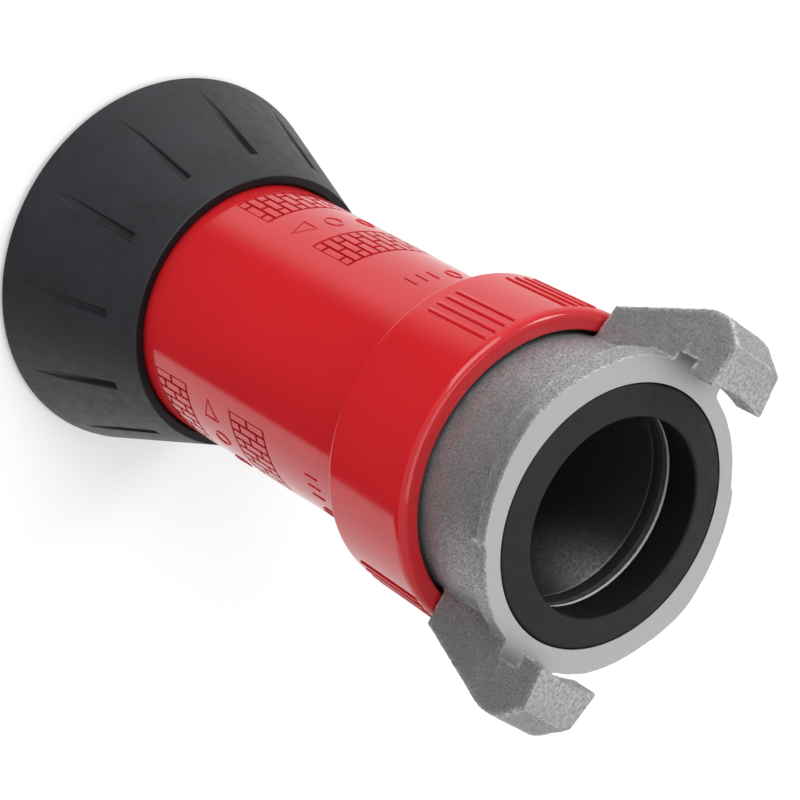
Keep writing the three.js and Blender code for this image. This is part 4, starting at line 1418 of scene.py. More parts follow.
@dataclass
class Barrel:
    """The red barrel that is twisted by hand, with its brick grips and raised marks."""

    wall: float = 3.2
    draft: float = 0.5
    web: float = 9.0
    cone: float = 8.3
    nose_bore: float = 29.5
    bead_start: float = 11.0
    bead_width: float = 6.0
    bead_depth: float = 1.5
    throat_bore: float = 19.0
    cone_foot: float = 23.0
    ring_half: float = 0.95
    guide_depth: float = 1.4
    pin_radius: float = 2.5
    bands: tuple[GripBand, ...] = (GripBand(45.5, 59.0), GripBand(76.3, 90.7))
    smooth_middle: float = -85.1       # middle of the plain side, in degrees
    smooth_half: float = 41.3
    columns: int = 22
    courses: int = 2                   # whole bricks along a band
    joint: float = 0.75
    field_depth: float = 0.6
    mark_radius: float = 0.26
    brick_ease: float = 0.12           # chamfer round a brick's outer face
    brick_facets: int = 4              # across a brick
    brick_foot: float = 0.15           # how far a brick is sunk below its field
    mark_margin: float = 1.5           # degrees from the plain side to the first mark
    pointer_length: float = 9.5        # in degrees, like every place round the barrel below
    pointer_half: float = 2.6
    rings: int = 2
    ring_place: float = 20.0
    ring_pitch: float = 17.0
    ring_size: float = 2.7
    ring_lift: float = 1.2             # above the middle between the bands
    row_setback: float = 17.0          # second row of marks, behind the rear band
    bars: int = 3
    bar_place: float = 8.0
    bar_pitch: float = 5.5
    bar_half: float = 2.2
    row_ring_place: float = 30.0
    row_ring_size: float = 2.4

    def __post_init__(self) -> None:
        """Reads the barrel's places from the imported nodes."""
        place = Extent.of("barrel")
        self.front, self.rear = place.front, place.rear
        self.widest = place.radius
        self.bumper_rear = Extent.of("bumper").rear
        self.throat = Extent.of("throat_seat")
        guide = Extent.of("guide_ring")
        self.guide_front, self.guide_rear = guide.front - GAP, guide.rear + GAP
        pin = Extent.of("cam_pin_left")
        self.pin_height = (pin.front + pin.rear) / 2
        self.bore = self.widest - self.draft - self.wall

    def build(self) -> None:
        """Makes and seats the sleeve, its bricks and its marks."""
        seat(dress(self.sleeve(), RED), Body.BARREL, Slot.RED, "barrel")
        seat(dress(self.bricks(), RED), Body.BARREL, Slot.RED)
        seat(dress(self.marks(), RED), Body.BARREL, Slot.RED)

    def taper(self) -> float:
        """Loss of radius for each millimetre towards the rear."""
        return self.draft / (self.rear - self.bumper_rear)

    def surface_radius(self, height: float) -> float:
        """Outer radius of the barrel at a height."""
        return self.widest - self.taper() * max(0.0, height - self.bumper_rear)

    def outline(self) -> np.ndarray:
        """The sleeve's section, with rows of points at the ends of each grip band."""
        web_rear = self.throat.front + self.web + GAP
        bead = self.front + self.bead_start
        bead_radius = self.widest - self.bead_depth
        middle = (self.throat_bore + self.cone_foot) / 2
        near = 0.25
        flank = []
        for band in self.bands:
            for z in (band.front, band.front + near, band.rear - near, band.rear):
                flank.append(Corner(self.surface_radius(z), z))
        inner, outer = middle - self.ring_half, middle + self.ring_half
        floor = web_rear - 2 * self.ring_half
        return rounded(
            [
                Corner(self.nose_bore, self.front, 0.4), Corner(self.widest, self.front, 0.6),
                Corner(self.widest, bead), Corner(bead_radius, bead),
                Corner(bead_radius, bead + self.bead_width), Corner(self.widest, bead + self.bead_width),
                Corner(self.widest, self.bumper_rear), *flank,
                Corner(self.surface_radius(self.rear), self.rear, 0.5), Corner(self.bore, self.rear, 0.4),
                Corner(self.bore, self.guide_rear), Corner(self.bore + self.guide_depth, self.guide_rear),
                Corner(self.bore + self.guide_depth, self.guide_front), Corner(self.bore, self.guide_front),
                Corner(self.bore, web_rear + self.cone), Corner(self.cone_foot, web_rear),
                Corner(outer, web_rear), Corner(outer, floor), Corner(inner, floor), Corner(inner, web_rear),
                Corner(self.throat_bore, web_rear), Corner(self.throat_bore, self.throat.front + 1),
                Corner(self.throat_bore + 1.5, self.throat.front - 1),
            ]
        )

    def grip_edges(self) -> list[tuple[float, float]]:
        """Start and end of each of the two gripped sides, in degrees."""
        start = self.smooth_middle + self.smooth_half
        width = 180 - 2 * self.smooth_half
        return [(start, start + width), (start + 180, start + width + 180)]

    def sleeve(self) -> Piece:
        """The barrel itself, sunk a little where the bricks stand."""
        outline = self.outline()
        near = math.degrees(0.25 / self.widest)
        edges = [e + s for pair in self.grip_edges() for e, s in zip(pair * 2, (0, 0, near, -near))]
        extra = np.radians(edges) % TURN
        angles = np.unique(np.round(np.concatenate([even_angles(2 * FINE), extra]), 6))
        points = revolve(outline, angles)
        degrees = np.degrees(angles)
        for start, end in self.grip_edges():
            inside = ((degrees - start) % 360 > near / 2) & ((end - degrees) % 360 > near / 2)
            inside &= (degrees - start) % 360 < end - start
            for band in self.bands:
                for j, (r, z) in enumerate(outline):
                    if r > self.bore + 1 and band.front + 0.1 < z < band.rear - 0.1:
                        shrink = (r - self.field_depth) / r
                        points[inside, j, :2] *= shrink
        piece = new_object("barrel_sleeve", grid_mesh("barrel_sleeve", points))
        for turn in (0.0, math.pi):
            boolean(piece, self.pin_cutter(turn), "DIFFERENCE")
        finish_shading(piece.data)
        return piece

    def pin_cutter(self, turn: float) -> Piece:
        """A cutter for one cam pin's hole, lying along the radius at an angle."""
        cutter = turned(
            "pin_cut",
            [
                Corner(0, self.bore - OVERSHOOT), Corner(self.pin_radius, self.bore - OVERSHOOT),
                Corner(self.pin_radius, self.widest + OVERSHOOT), Corner(0, self.widest + OVERSHOOT),
            ],
            SMALL,
        )
        lay = Matrix.Rotation(turn, 4, "Z") @ Matrix.Translation((0, 0, self.pin_height * MM))
        cutter.data.transform(lay @ Matrix.Rotation(math.pi / 2, 4, "Y"))
        return cutter

    def brick(self, length: float) -> Piece:
        """One brick, curved like the barrel, with its outer face at the origin facing +X.

        Args:
            length: From one cross joint's middle to the next, in mm.

        Returns:
            The brick, which the tree copies.
        """
        pitch = math.radians((180 - 2 * self.smooth_half) / self.columns)
        half_angle = pitch / 2 - self.joint / 2 / self.widest
        half_length = (length - self.joint) / 2
        ease, facets = self.brick_ease, self.brick_facets
        across = np.linspace(-half_angle, half_angle, facets + 1)
        rim = half_angle + ease / self.widest
        work = bmesh.new()

        def row(z: float, drop: float, angles: np.ndarray) -> list[bmesh.types.BMVert]:
            """Vertices at one height, so far below the outer face."""
            radius = self.widest - drop
            return [
                work.verts.new(
                    ((radius * math.cos(a) - self.widest) * MM, radius * math.sin(a) * MM, z * MM)
                )
                for a in angles
            ]

        skirt = np.linspace(-rim, rim, facets + 1)
        depth = self.field_depth + self.brick_foot
        low = row(-half_length, ease, skirt)
        top = [row(z, 0.0, across) for z in (-half_length + ease, half_length - ease)]
        high = row(half_length, ease, skirt)
        foot_low = row(-half_length, depth, skirt)
        foot_high = row(half_length, depth, skirt)
        loops = [foot_low, low, *top, high, foot_high]
        for a, b in zip(loops, loops[1:]):
            for k in range(facets):
                work.faces.new([a[k], a[k + 1], b[k + 1], b[k]])
        for k in range(facets):
            work.faces.new([foot_high[k], foot_high[k + 1], foot_low[k + 1], foot_low[k]])
        for k in (0, facets):
            work.faces.new([foot_low[k], low[k], top[0][k], top[1][k], high[k], foot_high[k]])
        return finished("brick", work)

    def bricks(self) -> Piece:
        """The bricks of both bands on both sides, as one piece."""
        tree = brick_tree()
        pitch = (180 - 2 * self.smooth_half) / self.columns
        groups = []
        for band in self.bands:
            length = (band.rear - band.front - self.joint) / self.courses
            pattern = self.brick(length)
            for start, _ in self.grip_edges():
                values = {
                    "Columns": self.columns,
                    "Rows": self.courses + 1,
                    "Start angle": math.radians(start),
                    "Column angle": math.radians(pitch),
                    "Band front": (band.front + self.joint / 2) * MM,
                    "Band rear": (band.rear - self.joint / 2) * MM,
                    "Brick length": length * MM,
                    "Joint": self.joint * MM,
                    "Radius at front": self.surface_radius(band.front) * MM,
                    "Taper": self.taper(),
                    "Piece": pattern,
                    "Material": PAINTS.get(RED),
                }
                groups.append(grown("brick_band", tree, values))
            bpy.data.objects.remove(pattern)
        return join_meshes("barrel_grip_bricks", groups)

    def on_surface(self, angle: float, height: float) -> tuple[float, float, float]:
        """A point on the barrel in metres, from degrees round the axis and a height in mm."""
        radius = self.surface_radius(height)
        turn = math.radians(angle)
        return (radius * math.cos(turn) * MM, radius * math.sin(turn) * MM, height * MM)

    def mark_lines(self) -> list[list[Point2]]:
        """The raised marks as closed lines of [degrees, height]: pointers, rings and bars."""
        lines = []
        middle = (self.bands[0].rear + self.bands[1].front) / 2
        for side in (1, -1):
            for turn in (0, 180):
                edge = self.smooth_middle + turn + side * (self.smooth_half + self.mark_margin)
                tail = edge + side * self.pointer_length
                half = self.pointer_half
                lines.append([(edge, middle), (tail, middle + half), (tail, middle - half)])
                for i in range(self.rings):
                    centre = edge + side * (self.ring_place + self.ring_pitch * i)
                    lines.append(ring_line(centre, middle + self.ring_lift, self.ring_size, self.widest))
                row = self.bands[1].rear + self.row_setback
                for i in range(self.bars):
                    start = edge + side * (self.bar_place + self.bar_pitch * i)
                    lines.append([(start, row - self.bar_half), (start, row + self.bar_half)])
                centre = edge + side * self.row_ring_place
                lines.append(ring_line(centre, row, self.row_ring_size, self.widest))
        return lines

    def marks(self) -> Piece:
        """The raised marks as beads along their lines."""
        points: list[tuple[float, float, float]] = []
        edges: list[tuple[int, int]] = []
        for line in self.mark_lines():
            first = len(points)
            closed = len(line) > 2
            fine = subdivided(line, closed)
            points += [self.on_surface(*p) for p in fine]
            edges += [(first + i, first + i + 1) for i in range(len(fine) - 1)]
            if closed:
                edges.append((first + len(fine) - 1, first))
        carrier = bpy.data.meshes.new("mark_lines")
        carrier.from_pydata(points, edges, [])
        values = {"Bead radius": self.mark_radius * MM, "Sides": 10, "Material": PAINTS.get(RED)}
        return grown("barrel_marks", bead_tree(), values, carrier)


def ring_line(angle: float, height: float, size: float, radius: float) -> list[Point2]:
    """An oval ring drawn on a barrel.

    Args:
        angle: Degrees round the axis of its middle.
        height: Height of its middle.
        size: Half of its height.
        radius: The barrel's radius.

    Returns:
        Points of [degrees, height].
    """
    steps = 20
    wide = math.degrees(0.72 * size / radius)
    turns = [TURN * i / steps for i in range(steps)]
    return [(angle + wide * math.cos(t), height + size * math.sin(t)) for t in turns]


def subdivided(line: list[Point2], closed: bool) -> list[Point2]:
    """A line with extra points, so that it follows a round surface.

    Args:
        line: The line's corners.
        closed: Whether its end joins its start.

    Returns:
        The finer line.
    """
    if len(line) > 6:
        return line
    parts = 6
    fine = []
    ends = line[1:] + line[:1] if closed else line[1:]
    for (a, z), (b, y) in zip(line, ends):
        fine += [(a + (b - a) * i / parts, z + (y - z) * i / parts) for i in range(parts)]
    return fine if closed else [*fine, line[-1]]


# ---- bumper ----


@dataclass
class Bumper:
    """The flared rubber bumper with twelve tapered flutes, and the mouth that it forms."""

    rim_height: float = 1.6
    flare_radius: float = 35.1
    mouth_radius: float = 44.0
    mouth_depth: float = 6.5
    keeper_radius: float = 33.0
    keeper: float = 2.4
    pocket_radius: float = 35.2
    bore: float = 32.8
    nose: float = 13.0
    bead_start: float = 11.3
    bead_width: float = 5.4
    bead_bore: float = 31.3
    flutes: int = 12
    flute_half: float = 1.25
    flute_wall: float = 0.35
    flute_depth: float = 1.45
    flute_square: float = 33.0         # height of the deep end
    flute_point: float = 7.0           # height of the pointed end
    flute_widens: float = 0.3          # share of a flute's length over which it reaches full width
    flute_deepens: float = 0.75        # and full depth
    flute_thin: float = 0.02           # width at the point, as a share
    flute_run_out: float = 0.5         # length of the square end's slope
    land_steps: int = 14               # facets between flutes

    def __post_init__(self) -> None:
        """Reads the bumper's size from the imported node."""
        place = Extent.of("bumper")
        self.rear, self.rim_radius = place.rear, place.radius

    def build(self) -> None:
        """Makes and seats the bumper."""
        seat(dress(self.boot(), BUMPER_RUBBER, BUMPER_END_SHADE), Body.BARREL, Slot.RUBBER, "bumper")

    def flank_radius(self, height: np.ndarray) -> np.ndarray:
        """Outer radius of the flare at a height."""
        share = (height - self.rim_height) / (self.rear - self.rim_height)
        return self.rim_radius + (self.flare_radius - self.rim_radius) * share

    def outline(self) -> np.ndarray:
        """The bumper's section, with close rows along the flank for the flutes."""
        heights = np.concatenate([
            np.linspace(self.flute_point - 1.5, self.flute_square - 1.4, 34),
            [self.flute_square - z for z in (1.1, 0.8, 0.55, 0.35, 0.2, 0.1, 0.0, -0.15, -0.4, -1.0)],
        ])
        flank = [Corner(float(self.flank_radius(z)), float(z)) for z in heights]
        nose = self.nose
        bead = nose + self.bead_start
        pocket_front = self.mouth_depth + self.keeper
        return rounded(
            [
                Corner(self.mouth_radius, 0, 0.8), Corner(self.rim_radius - self.rim_height, 0, 0.9),
                Corner(self.rim_radius, self.rim_height, 0.6), *flank,
                Corner(self.flare_radius, self.rear, 0.5), Corner(self.bore, self.rear, 0.5),
                Corner(self.bore, bead + self.bead_width), Corner(self.bead_bore, bead + self.bead_width),
                Corner(self.bead_bore, bead), Corner(self.bore, bead), Corner(self.bore, nose),
                Corner(self.pocket_radius, nose), Corner(self.pocket_radius, pocket_front),
                Corner(self.keeper_radius, pocket_front, 0.3),
                Corner(self.keeper_radius, self.mouth_depth, 0.6),
            ]
        )

    def boot(self) -> Piece:
        """The bumper, with each flute's edges on rows of points of their own."""
        outline = self.outline()
        half, wall = self.flute_half, self.flute_wall
        steps = [half + 0.5, half + 0.2, half, half - 0.1, half - wall + 0.1, half - wall, half - wall - 0.15]
        inner = [0.5, 0.25]
        stations = [-s for s in steps + inner] + [0.0] + (steps + inner)[::-1]
        drops = [0, 0, 0.04, 0.2, 0.8, 0.96, 1, 1, 1]
        depths = drops + [1] + drops[::-1]
        thin, ends = self.flute_thin, self.flute_run_out
        z = outline[:, 1]
        run = (z - self.flute_point) / (self.flute_square - self.flute_point)
        width = np.clip(run / self.flute_widens, thin, 1) ** 0.8
        end = np.clip((self.flute_square - z) / ends, 0, 1)
        end = end * end * (3 - 2 * end)
        on_flank = (outline[:, 0] > self.flare_radius - 0.5) & (run > 0) & (run <= 1)
        depth = np.where(on_flank, self.flute_depth * np.clip(run / self.flute_deepens, 0, 1) * end, 0.0)
        width = np.where(on_flank, width, 1.0)
        width = np.where(run <= 0, thin, width)
        columns = []
        sector = TURN / self.flutes
        for i in range(self.flutes):
            middle = i * sector
            for offset, share in zip(stations, depths):
                angle = middle + offset * width / outline[:, 0]
                radius = outline[:, 0] - depth * share
                columns.append(np.stack([radius * np.cos(angle), radius * np.sin(angle), z], axis=-1))
            edge = steps[0] * width / outline[:, 0]
            for k in range(1, self.land_steps):
                share = k / self.land_steps
                angle = middle + edge + (sector - 2 * edge) * share
                columns.append(
                    np.stack([outline[:, 0] * np.cos(angle), outline[:, 0] * np.sin(angle), z], axis=-1)
                )
        boot = new_object("bumper_boot", grid_mesh("bumper_boot", np.array(columns)))
        # painted shade: the rear end face takes the near-black rubber
        for face in boot.data.polygons:
            face.material_index = int(face.normal.z > 0.8 and face.center.z > (self.rear - 1) * MM)
        return boot


# ---- the water way ----


@dataclass
class WaterWay:
    """The tube, the stem with its spider, the baffle, the throat and the fog teeth."""

    web_front: float = 10.0            # front of the collar's web, ahead of its rear end
    tube_radius: float = 28.3
    tube_bore: float = 22.0
    inlet_bore: float = 24.6
    inlet_taper: float = 60.0
    thread_radius: float = 28.8
    shoulder_radius: float = 31.2
    shoulder: float = 2.7
    ring_floor: float = 2.5
    ring_half: float = 1.35
    snap_depth: float = 1.1
    cam_depth: float = 2.3
    cam_half: float = 2.6
    travel: float = 10.0
    stem_radius: float = 5.0
    collar_radius: float = 8.0
    spigot_radius: float = 6.0
    hub_radius: float = 7.8
    rim_wall: float = 2.4
    vanes: int = 3
    vane: float = 2.6
    baffle_wall: float = 3.3
    screw_hole: float = 3.2
    teeth: int = 30
    tooth_root: float = 29.8
    tooth_tip: float = 26.0
    throat_radius: float = 14.5

    def build(self) -> None:
        """Makes and seats every piece of the water way."""
        seat(dress(self.tube(), TUBE_NYLON), Body.BASE, Slot.NYLON, "body_tube")
        seat(dress(self.spider(), NYLON), Body.BASE, Slot.NYLON, "spider")
        seat(dress(self.stem(), STEEL), Body.BASE, Slot.STEEL, "stem")
        seat(dress(self.nut(), BRASS), Body.BASE, Slot.BRASS, "stem_nut")
        seat(dress(self.baffle(), NYLON), Body.BASE, Slot.NYLON, "baffle")
        seat(dress(self.shutoff(), RING_RUBBER), Body.BASE, Slot.RUBBER, "shutoff_seal")
        seat(dress(self.screw(), STEEL), Body.BASE, Slot.STEEL, "baffle_screw")
        seat(dress(self.fog_teeth(), NYLON), Body.BARREL, Slot.NYLON, "fog_teeth_ring")
        seat(dress(self.throat(), BRASS), Body.BARREL, Slot.BRASS, "throat_seat")

    def tube(self) -> Piece:
        """The body tube with its seal grooves, thread, flared bore and cam grooves."""
        tube = Extent.of("body_tube")
        snap = Extent.of("spider_snap_ring")
        shoulder_rear = Extent.of("collar").rear - self.web_front - GAP
        rings = [Extent.of("body_o_ring_front"), Extent.of("body_o_ring_rear")]
        grooves = []
        for ring in rings:
            middle = (ring.front + ring.rear) / 2
            low, high = middle - self.ring_half, middle + self.ring_half
            floor = self.tube_radius - self.ring_floor
            grooves += [Corner(self.tube_radius, low), Corner(floor, low), Corner(floor, high),
                        Corner(self.tube_radius, high)]
        seat_height = Extent.of("stem_washer").front - GAP
        snap_low, snap_high = snap.front - GAP / 2, snap.rear + GAP / 2
        snap_floor = self.inlet_bore + self.snap_depth
        shape = turned(
            "inlet_tube",
            [
                Corner(self.tube_radius, tube.front, 0.6), *grooves,
                Corner(self.tube_radius, shoulder_rear - self.shoulder),
                Corner(self.shoulder_radius, shoulder_rear - self.shoulder, 0.4),
                Corner(self.shoulder_radius, shoulder_rear, 0.4), Corner(self.thread_radius, shoulder_rear),
                Corner(self.thread_radius, tube.rear, 0.8), Corner(self.inlet_bore, tube.rear, 0.5),
                Corner(self.tube_bore, tube.rear - self.inlet_taper, 4.0),
                Corner(self.tube_bore, seat_height),
                Corner(self.inlet_bore, seat_height), Corner(self.inlet_bore, snap_high),
                Corner(snap_floor, snap_high), Corner(snap_floor, snap_low),
                Corner(self.inlet_bore, snap_low), Corner(self.inlet_bore, tube.front, 0.4),
            ],
        )
        for start in (0.0, math.pi):
            boolean(shape, self.cam_cutter(start), "DIFFERENCE")
        finish_shading(shape.data)
        return shape

    def cam_cutter(self, start: float) -> Piece:
        """The bar that cuts one cam groove: half a turn with the pin's travel.

        Args:
            start: Angle of the pin at rest.

        Returns:
            The cutter.
        """
        pin = Extent.of("cam_pin_left")
        height = (pin.front + pin.rear) / 2
        outer = self.tube_radius + OVERSHOOT
        inner = self.tube_radius - self.cam_depth
        lead = math.asin(self.cam_half / outer)
        steps = 72
        work = bmesh.new()
        sections = []
        for i in range(steps + 1):
            along = -lead + (math.pi + 2 * lead) * i / steps
            angle = start - along
            z = height - min(max(along / math.pi, 0.0), 1.0) * self.travel
            corners = ((inner, -1), (outer, -1), (outer, 1), (inner, 1))
            sections.append([
                work.verts.new((r * math.cos(angle) * MM, r * math.sin(angle) * MM,
                                (z + side * self.cam_half) * MM))
                for r, side in corners
            ])
        for a, b in zip(sections, sections[1:]):
            for k in range(4):
                work.faces.new([a[k], a[(k + 1) % 4], b[(k + 1) % 4], b[k]])
        work.faces.new(sections[0])
        work.faces.new(sections[-1][::-1])
        bmesh.ops.triangulate(work, faces=work.faces)
        return finished("cam_cut", work)

    def spider(self) -> Piece:
        """The three-vane spider that centres the stem."""
        place = Extent.of("spider")
        rim_rear = Extent.of("stem_washer").front - 2 * GAP
        rim_front = Extent.of("spider_snap_ring").rear + GAP
        outer = self.inlet_bore - GAP
        inner = outer - self.rim_wall
        bore = self.stem_radius + GAP
        body = turned("stem_spider", [Corner(inner, rim_front, 0.5), Corner(outer, rim_front, 0.4),
                                      Corner(outer, rim_rear, 0.4), Corner(inner, rim_rear, 0.5)], MEDIUM)
        hub = turned("hub", [Corner(bore, place.front, 0.3), Corner(self.hub_radius, place.front, 1.4),
                             Corner(self.hub_radius, place.rear, 0.8), Corner(bore, place.rear, 0.3)], MEDIUM)
        boolean(body, hub, "UNION")
        start = (bore + self.hub_radius) / 2
        end = outer - self.rim_wall / 2
        for i in range(self.vanes):
            top = rim_rear - 0.2
            low = rim_front + 0.2
            vane = prism("vane", [(start, low), (end, low), (end, top), (start, top)], self.vane)
            vane.data.transform(Matrix.Rotation(TURN * i / self.vanes + math.pi / 2, 4, "Z"))
            boolean(body, vane, "UNION")
        finish_shading(body.data)
        return body

    def stem(self) -> Piece:
        """The stem with its two collars, its spigot and the screw's hole."""
        place = Extent.of("stem")
        shoulder = Extent.of("seal_washer").rear + GAP
        hub_front = Extent.of("spider").front - GAP
        height = 3.7
        hole_end = Extent.of("baffle_screw").rear + GAP
        return turned(
            "stem_rod",
            [
                Corner(self.screw_hole, place.front), Corner(self.spigot_radius, place.front, 0.3),
                Corner(self.spigot_radius, shoulder), Corner(self.collar_radius, shoulder, 0.4),
                Corner(self.collar_radius, shoulder + height, 0.6),
                Corner(self.stem_radius, shoulder + height + 2, 1.5),
                Corner(self.stem_radius, hub_front - height - 2, 1.5),
                Corner(self.collar_radius, hub_front - height, 0.6),
                Corner(self.collar_radius, hub_front, 0.4),
                Corner(self.stem_radius, hub_front), Corner(self.stem_radius, place.rear, 0.9),
                Corner(0, place.rear), Corner(0, hole_end), Corner(self.screw_hole, hole_end),
            ],
            MEDIUM,
        )

    def nut(self) -> Piece:
        """The hexagon nut, with chamfered corners."""
        place = Extent.of("stem_nut")
        corner = place.radius
        across = corner * math.cos(math.pi / 6)
        blank = turned("hex_nut", [Corner(0, place.front), Corner(corner, place.front),
                                   Corner(corner, place.rear), Corner(0, place.rear)], 6)
        bore = self.stem_radius + GAP
        limit = turned(
            "nut_limit",
            [
                Corner(bore, place.front, 0.4), Corner(across, place.front),
                Corner(corner, place.front + 0.7),
                Corner(corner, place.rear - 0.7), Corner(across, place.rear), Corner(bore, place.rear, 0.4),
            ],
            MEDIUM,
        )
        boolean(blank, limit, "INTERSECT")
        finish_shading(blank.data)
        return blank

    def baffle(self) -> Piece:
        """The mushroom-shaped baffle that the water leaves round."""
        place = Extent.of("baffle")
        bore = self.spigot_radius + GAP
        floor = place.front + self.baffle_wall
        return turned(
            "baffle_head",
            [
                Corner(self.screw_hole, place.front, 0.3), Corner(place.radius, place.front, 4.5),
                Corner(place.radius, place.front + 4.9, 1.0), Corner(place.radius - 1.2, place.rear, 0.4),
                Corner(bore, place.rear, 0.3), Corner(bore, floor), Corner(self.screw_hole, floor),
            ],
            MEDIUM,
        )

    def shutoff(self) -> Piece:
        """The rubber disc that closes the throat."""
        place = Extent.of("shutoff_seal")
        bore = self.spigot_radius + GAP
        return turned("shutoff_disc", [Corner(bore, place.front, 0.2), Corner(place.radius, place.front, 0.5),
                                       Corner(place.radius, place.rear, 0.8), Corner(bore, place.rear, 0.2)],
                      MEDIUM)

    def screw(self) -> Piece:
        """The baffle's screw: a low head with a cross recess."""
        place = Extent.of("baffle_screw")
        shank = self.screw_hole - GAP
        head_rear = Extent.of("baffle").front - GAP
        screw = turned(
            "baffle_screw_body",
            [
                Corner(0, place.front), Corner(place.radius, place.front, 1.6),
                Corner(place.radius, head_rear, 0.2), Corner(shank, head_rear),
                Corner(shank, place.rear, 0.4), Corner(0, place.rear),
            ],
            SMALL,
        )
        for turn in (0.0, math.pi / 2):
            arm, deep = 2.6, 1.5
            slot = prism("recess_cut", [(-arm, place.front - 1), (arm, place.front - 1),
                                        (0.8, place.front + deep), (-0.8, place.front + deep)], 1.0)
            slot.data.transform(Matrix.Rotation(turn, 4, "Z"))
            boolean(screw, slot, "DIFFERENCE")
        finish_shading(screw.data)
        return screw

    def fog_teeth(self) -> Piece:
        """The ring of teeth that breaks the water into fog."""
        place = Extent.of("fog_teeth_ring")
        ring = turned("teeth_ring", [Corner(self.tooth_root, place.front, 0.2),
                                     Corner(place.radius, place.front, 0.3),
                                     Corner(place.radius, place.rear, 0.3),
                                     Corner(self.tooth_root, place.rear, 0.2)])
        pitch = TURN / self.teeth
        half = pitch * 0.45 / 2 * self.tooth_root
        sunk = 0.4
        outline = [(self.tooth_root + sunk, place.front + 0.1), (self.tooth_root + sunk, place.rear - 0.1),
                   (self.tooth_tip, place.rear - 0.1), (self.tooth_tip, place.front + 0.1)]
        tooth = prism("tooth", outline, 2 * half)
        for vertex in tooth.data.vertices:
            if vertex.co.x < (self.tooth_root - 1) * MM:
                vertex.co.y *= 0.5 * self.tooth_tip / self.tooth_root
        bevel = tooth.modifiers.new("bevel", "BEVEL")
        bevel.width = 0.25 * MM
        bevel.segments = 1
        bake_modifiers(tooth)
        values = {"Count": self.teeth, "Start angle": 0.0, "Pitch angle": pitch, "Piece": tooth,
                  "Material": PAINTS.get(NYLON)}
        teeth = grown("teeth", ring_tree(), values)
        bpy.data.objects.remove(tooth)
        return join_meshes("fog_teeth", [ring, teeth])

    def throat(self) -> Piece:
        """The brass insert that the shutoff disc seats on."""
        place = Extent.of("throat_seat")
        flange = place.rear - 2.6
        body = 18.7
        lip = self.throat_radius + 1.8
        return turned(
            "throat_insert",
            [
                Corner(self.throat_radius, place.front, 0.3), Corner(lip, place.front, 0.3),
                Corner(body, place.front + 1, 0.3), Corner(body, flange), Corner(place.radius, flange, 0.2),
                Corner(place.radius, place.rear - 1, 0.4), Corner(body, place.rear, 0.6),
                Corner(self.throat_radius, place.front + 4, 1.2),
            ],
        )


# ---- carried-over nodes --------------------------------------------------------------------


def dress_small_parts(nodes: dict[str, Piece]) -> None:
    """Gives the small parts inside, whose shape stays as packed, their finishes.

    Args:
        nodes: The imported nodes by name.
    """
    finishes = {
        "inlet_gasket": FIBRE,
        "wiper_ring": RING_RUBBER,
        "body_o_ring_front": RING_RUBBER,
        "body_o_ring_rear": RING_RUBBER,
        "throat_o_ring": RING_RUBBER,
        "spider_snap_ring": STEEL,
        "stem_washer": STEEL,
        "seal_washer": BRASS,
        "guide_ring": NYLON,
        "cam_pin_left": STEEL,
        "cam_pin_right": STEEL,
    }
    for name, finish in finishes.items():
        dress(nodes[name], finish)
        LOG.info("%s: kept, %s", name, finish.name)


# ---- studio ----


@dataclass(frozen=True)
class Softbox:
    """A square area light that faces a point on the nozzle, by direction and distance."""

    name: str
    azimuth: float
    elevation: float
    distance: float
    width: float
    height: float
    power: float


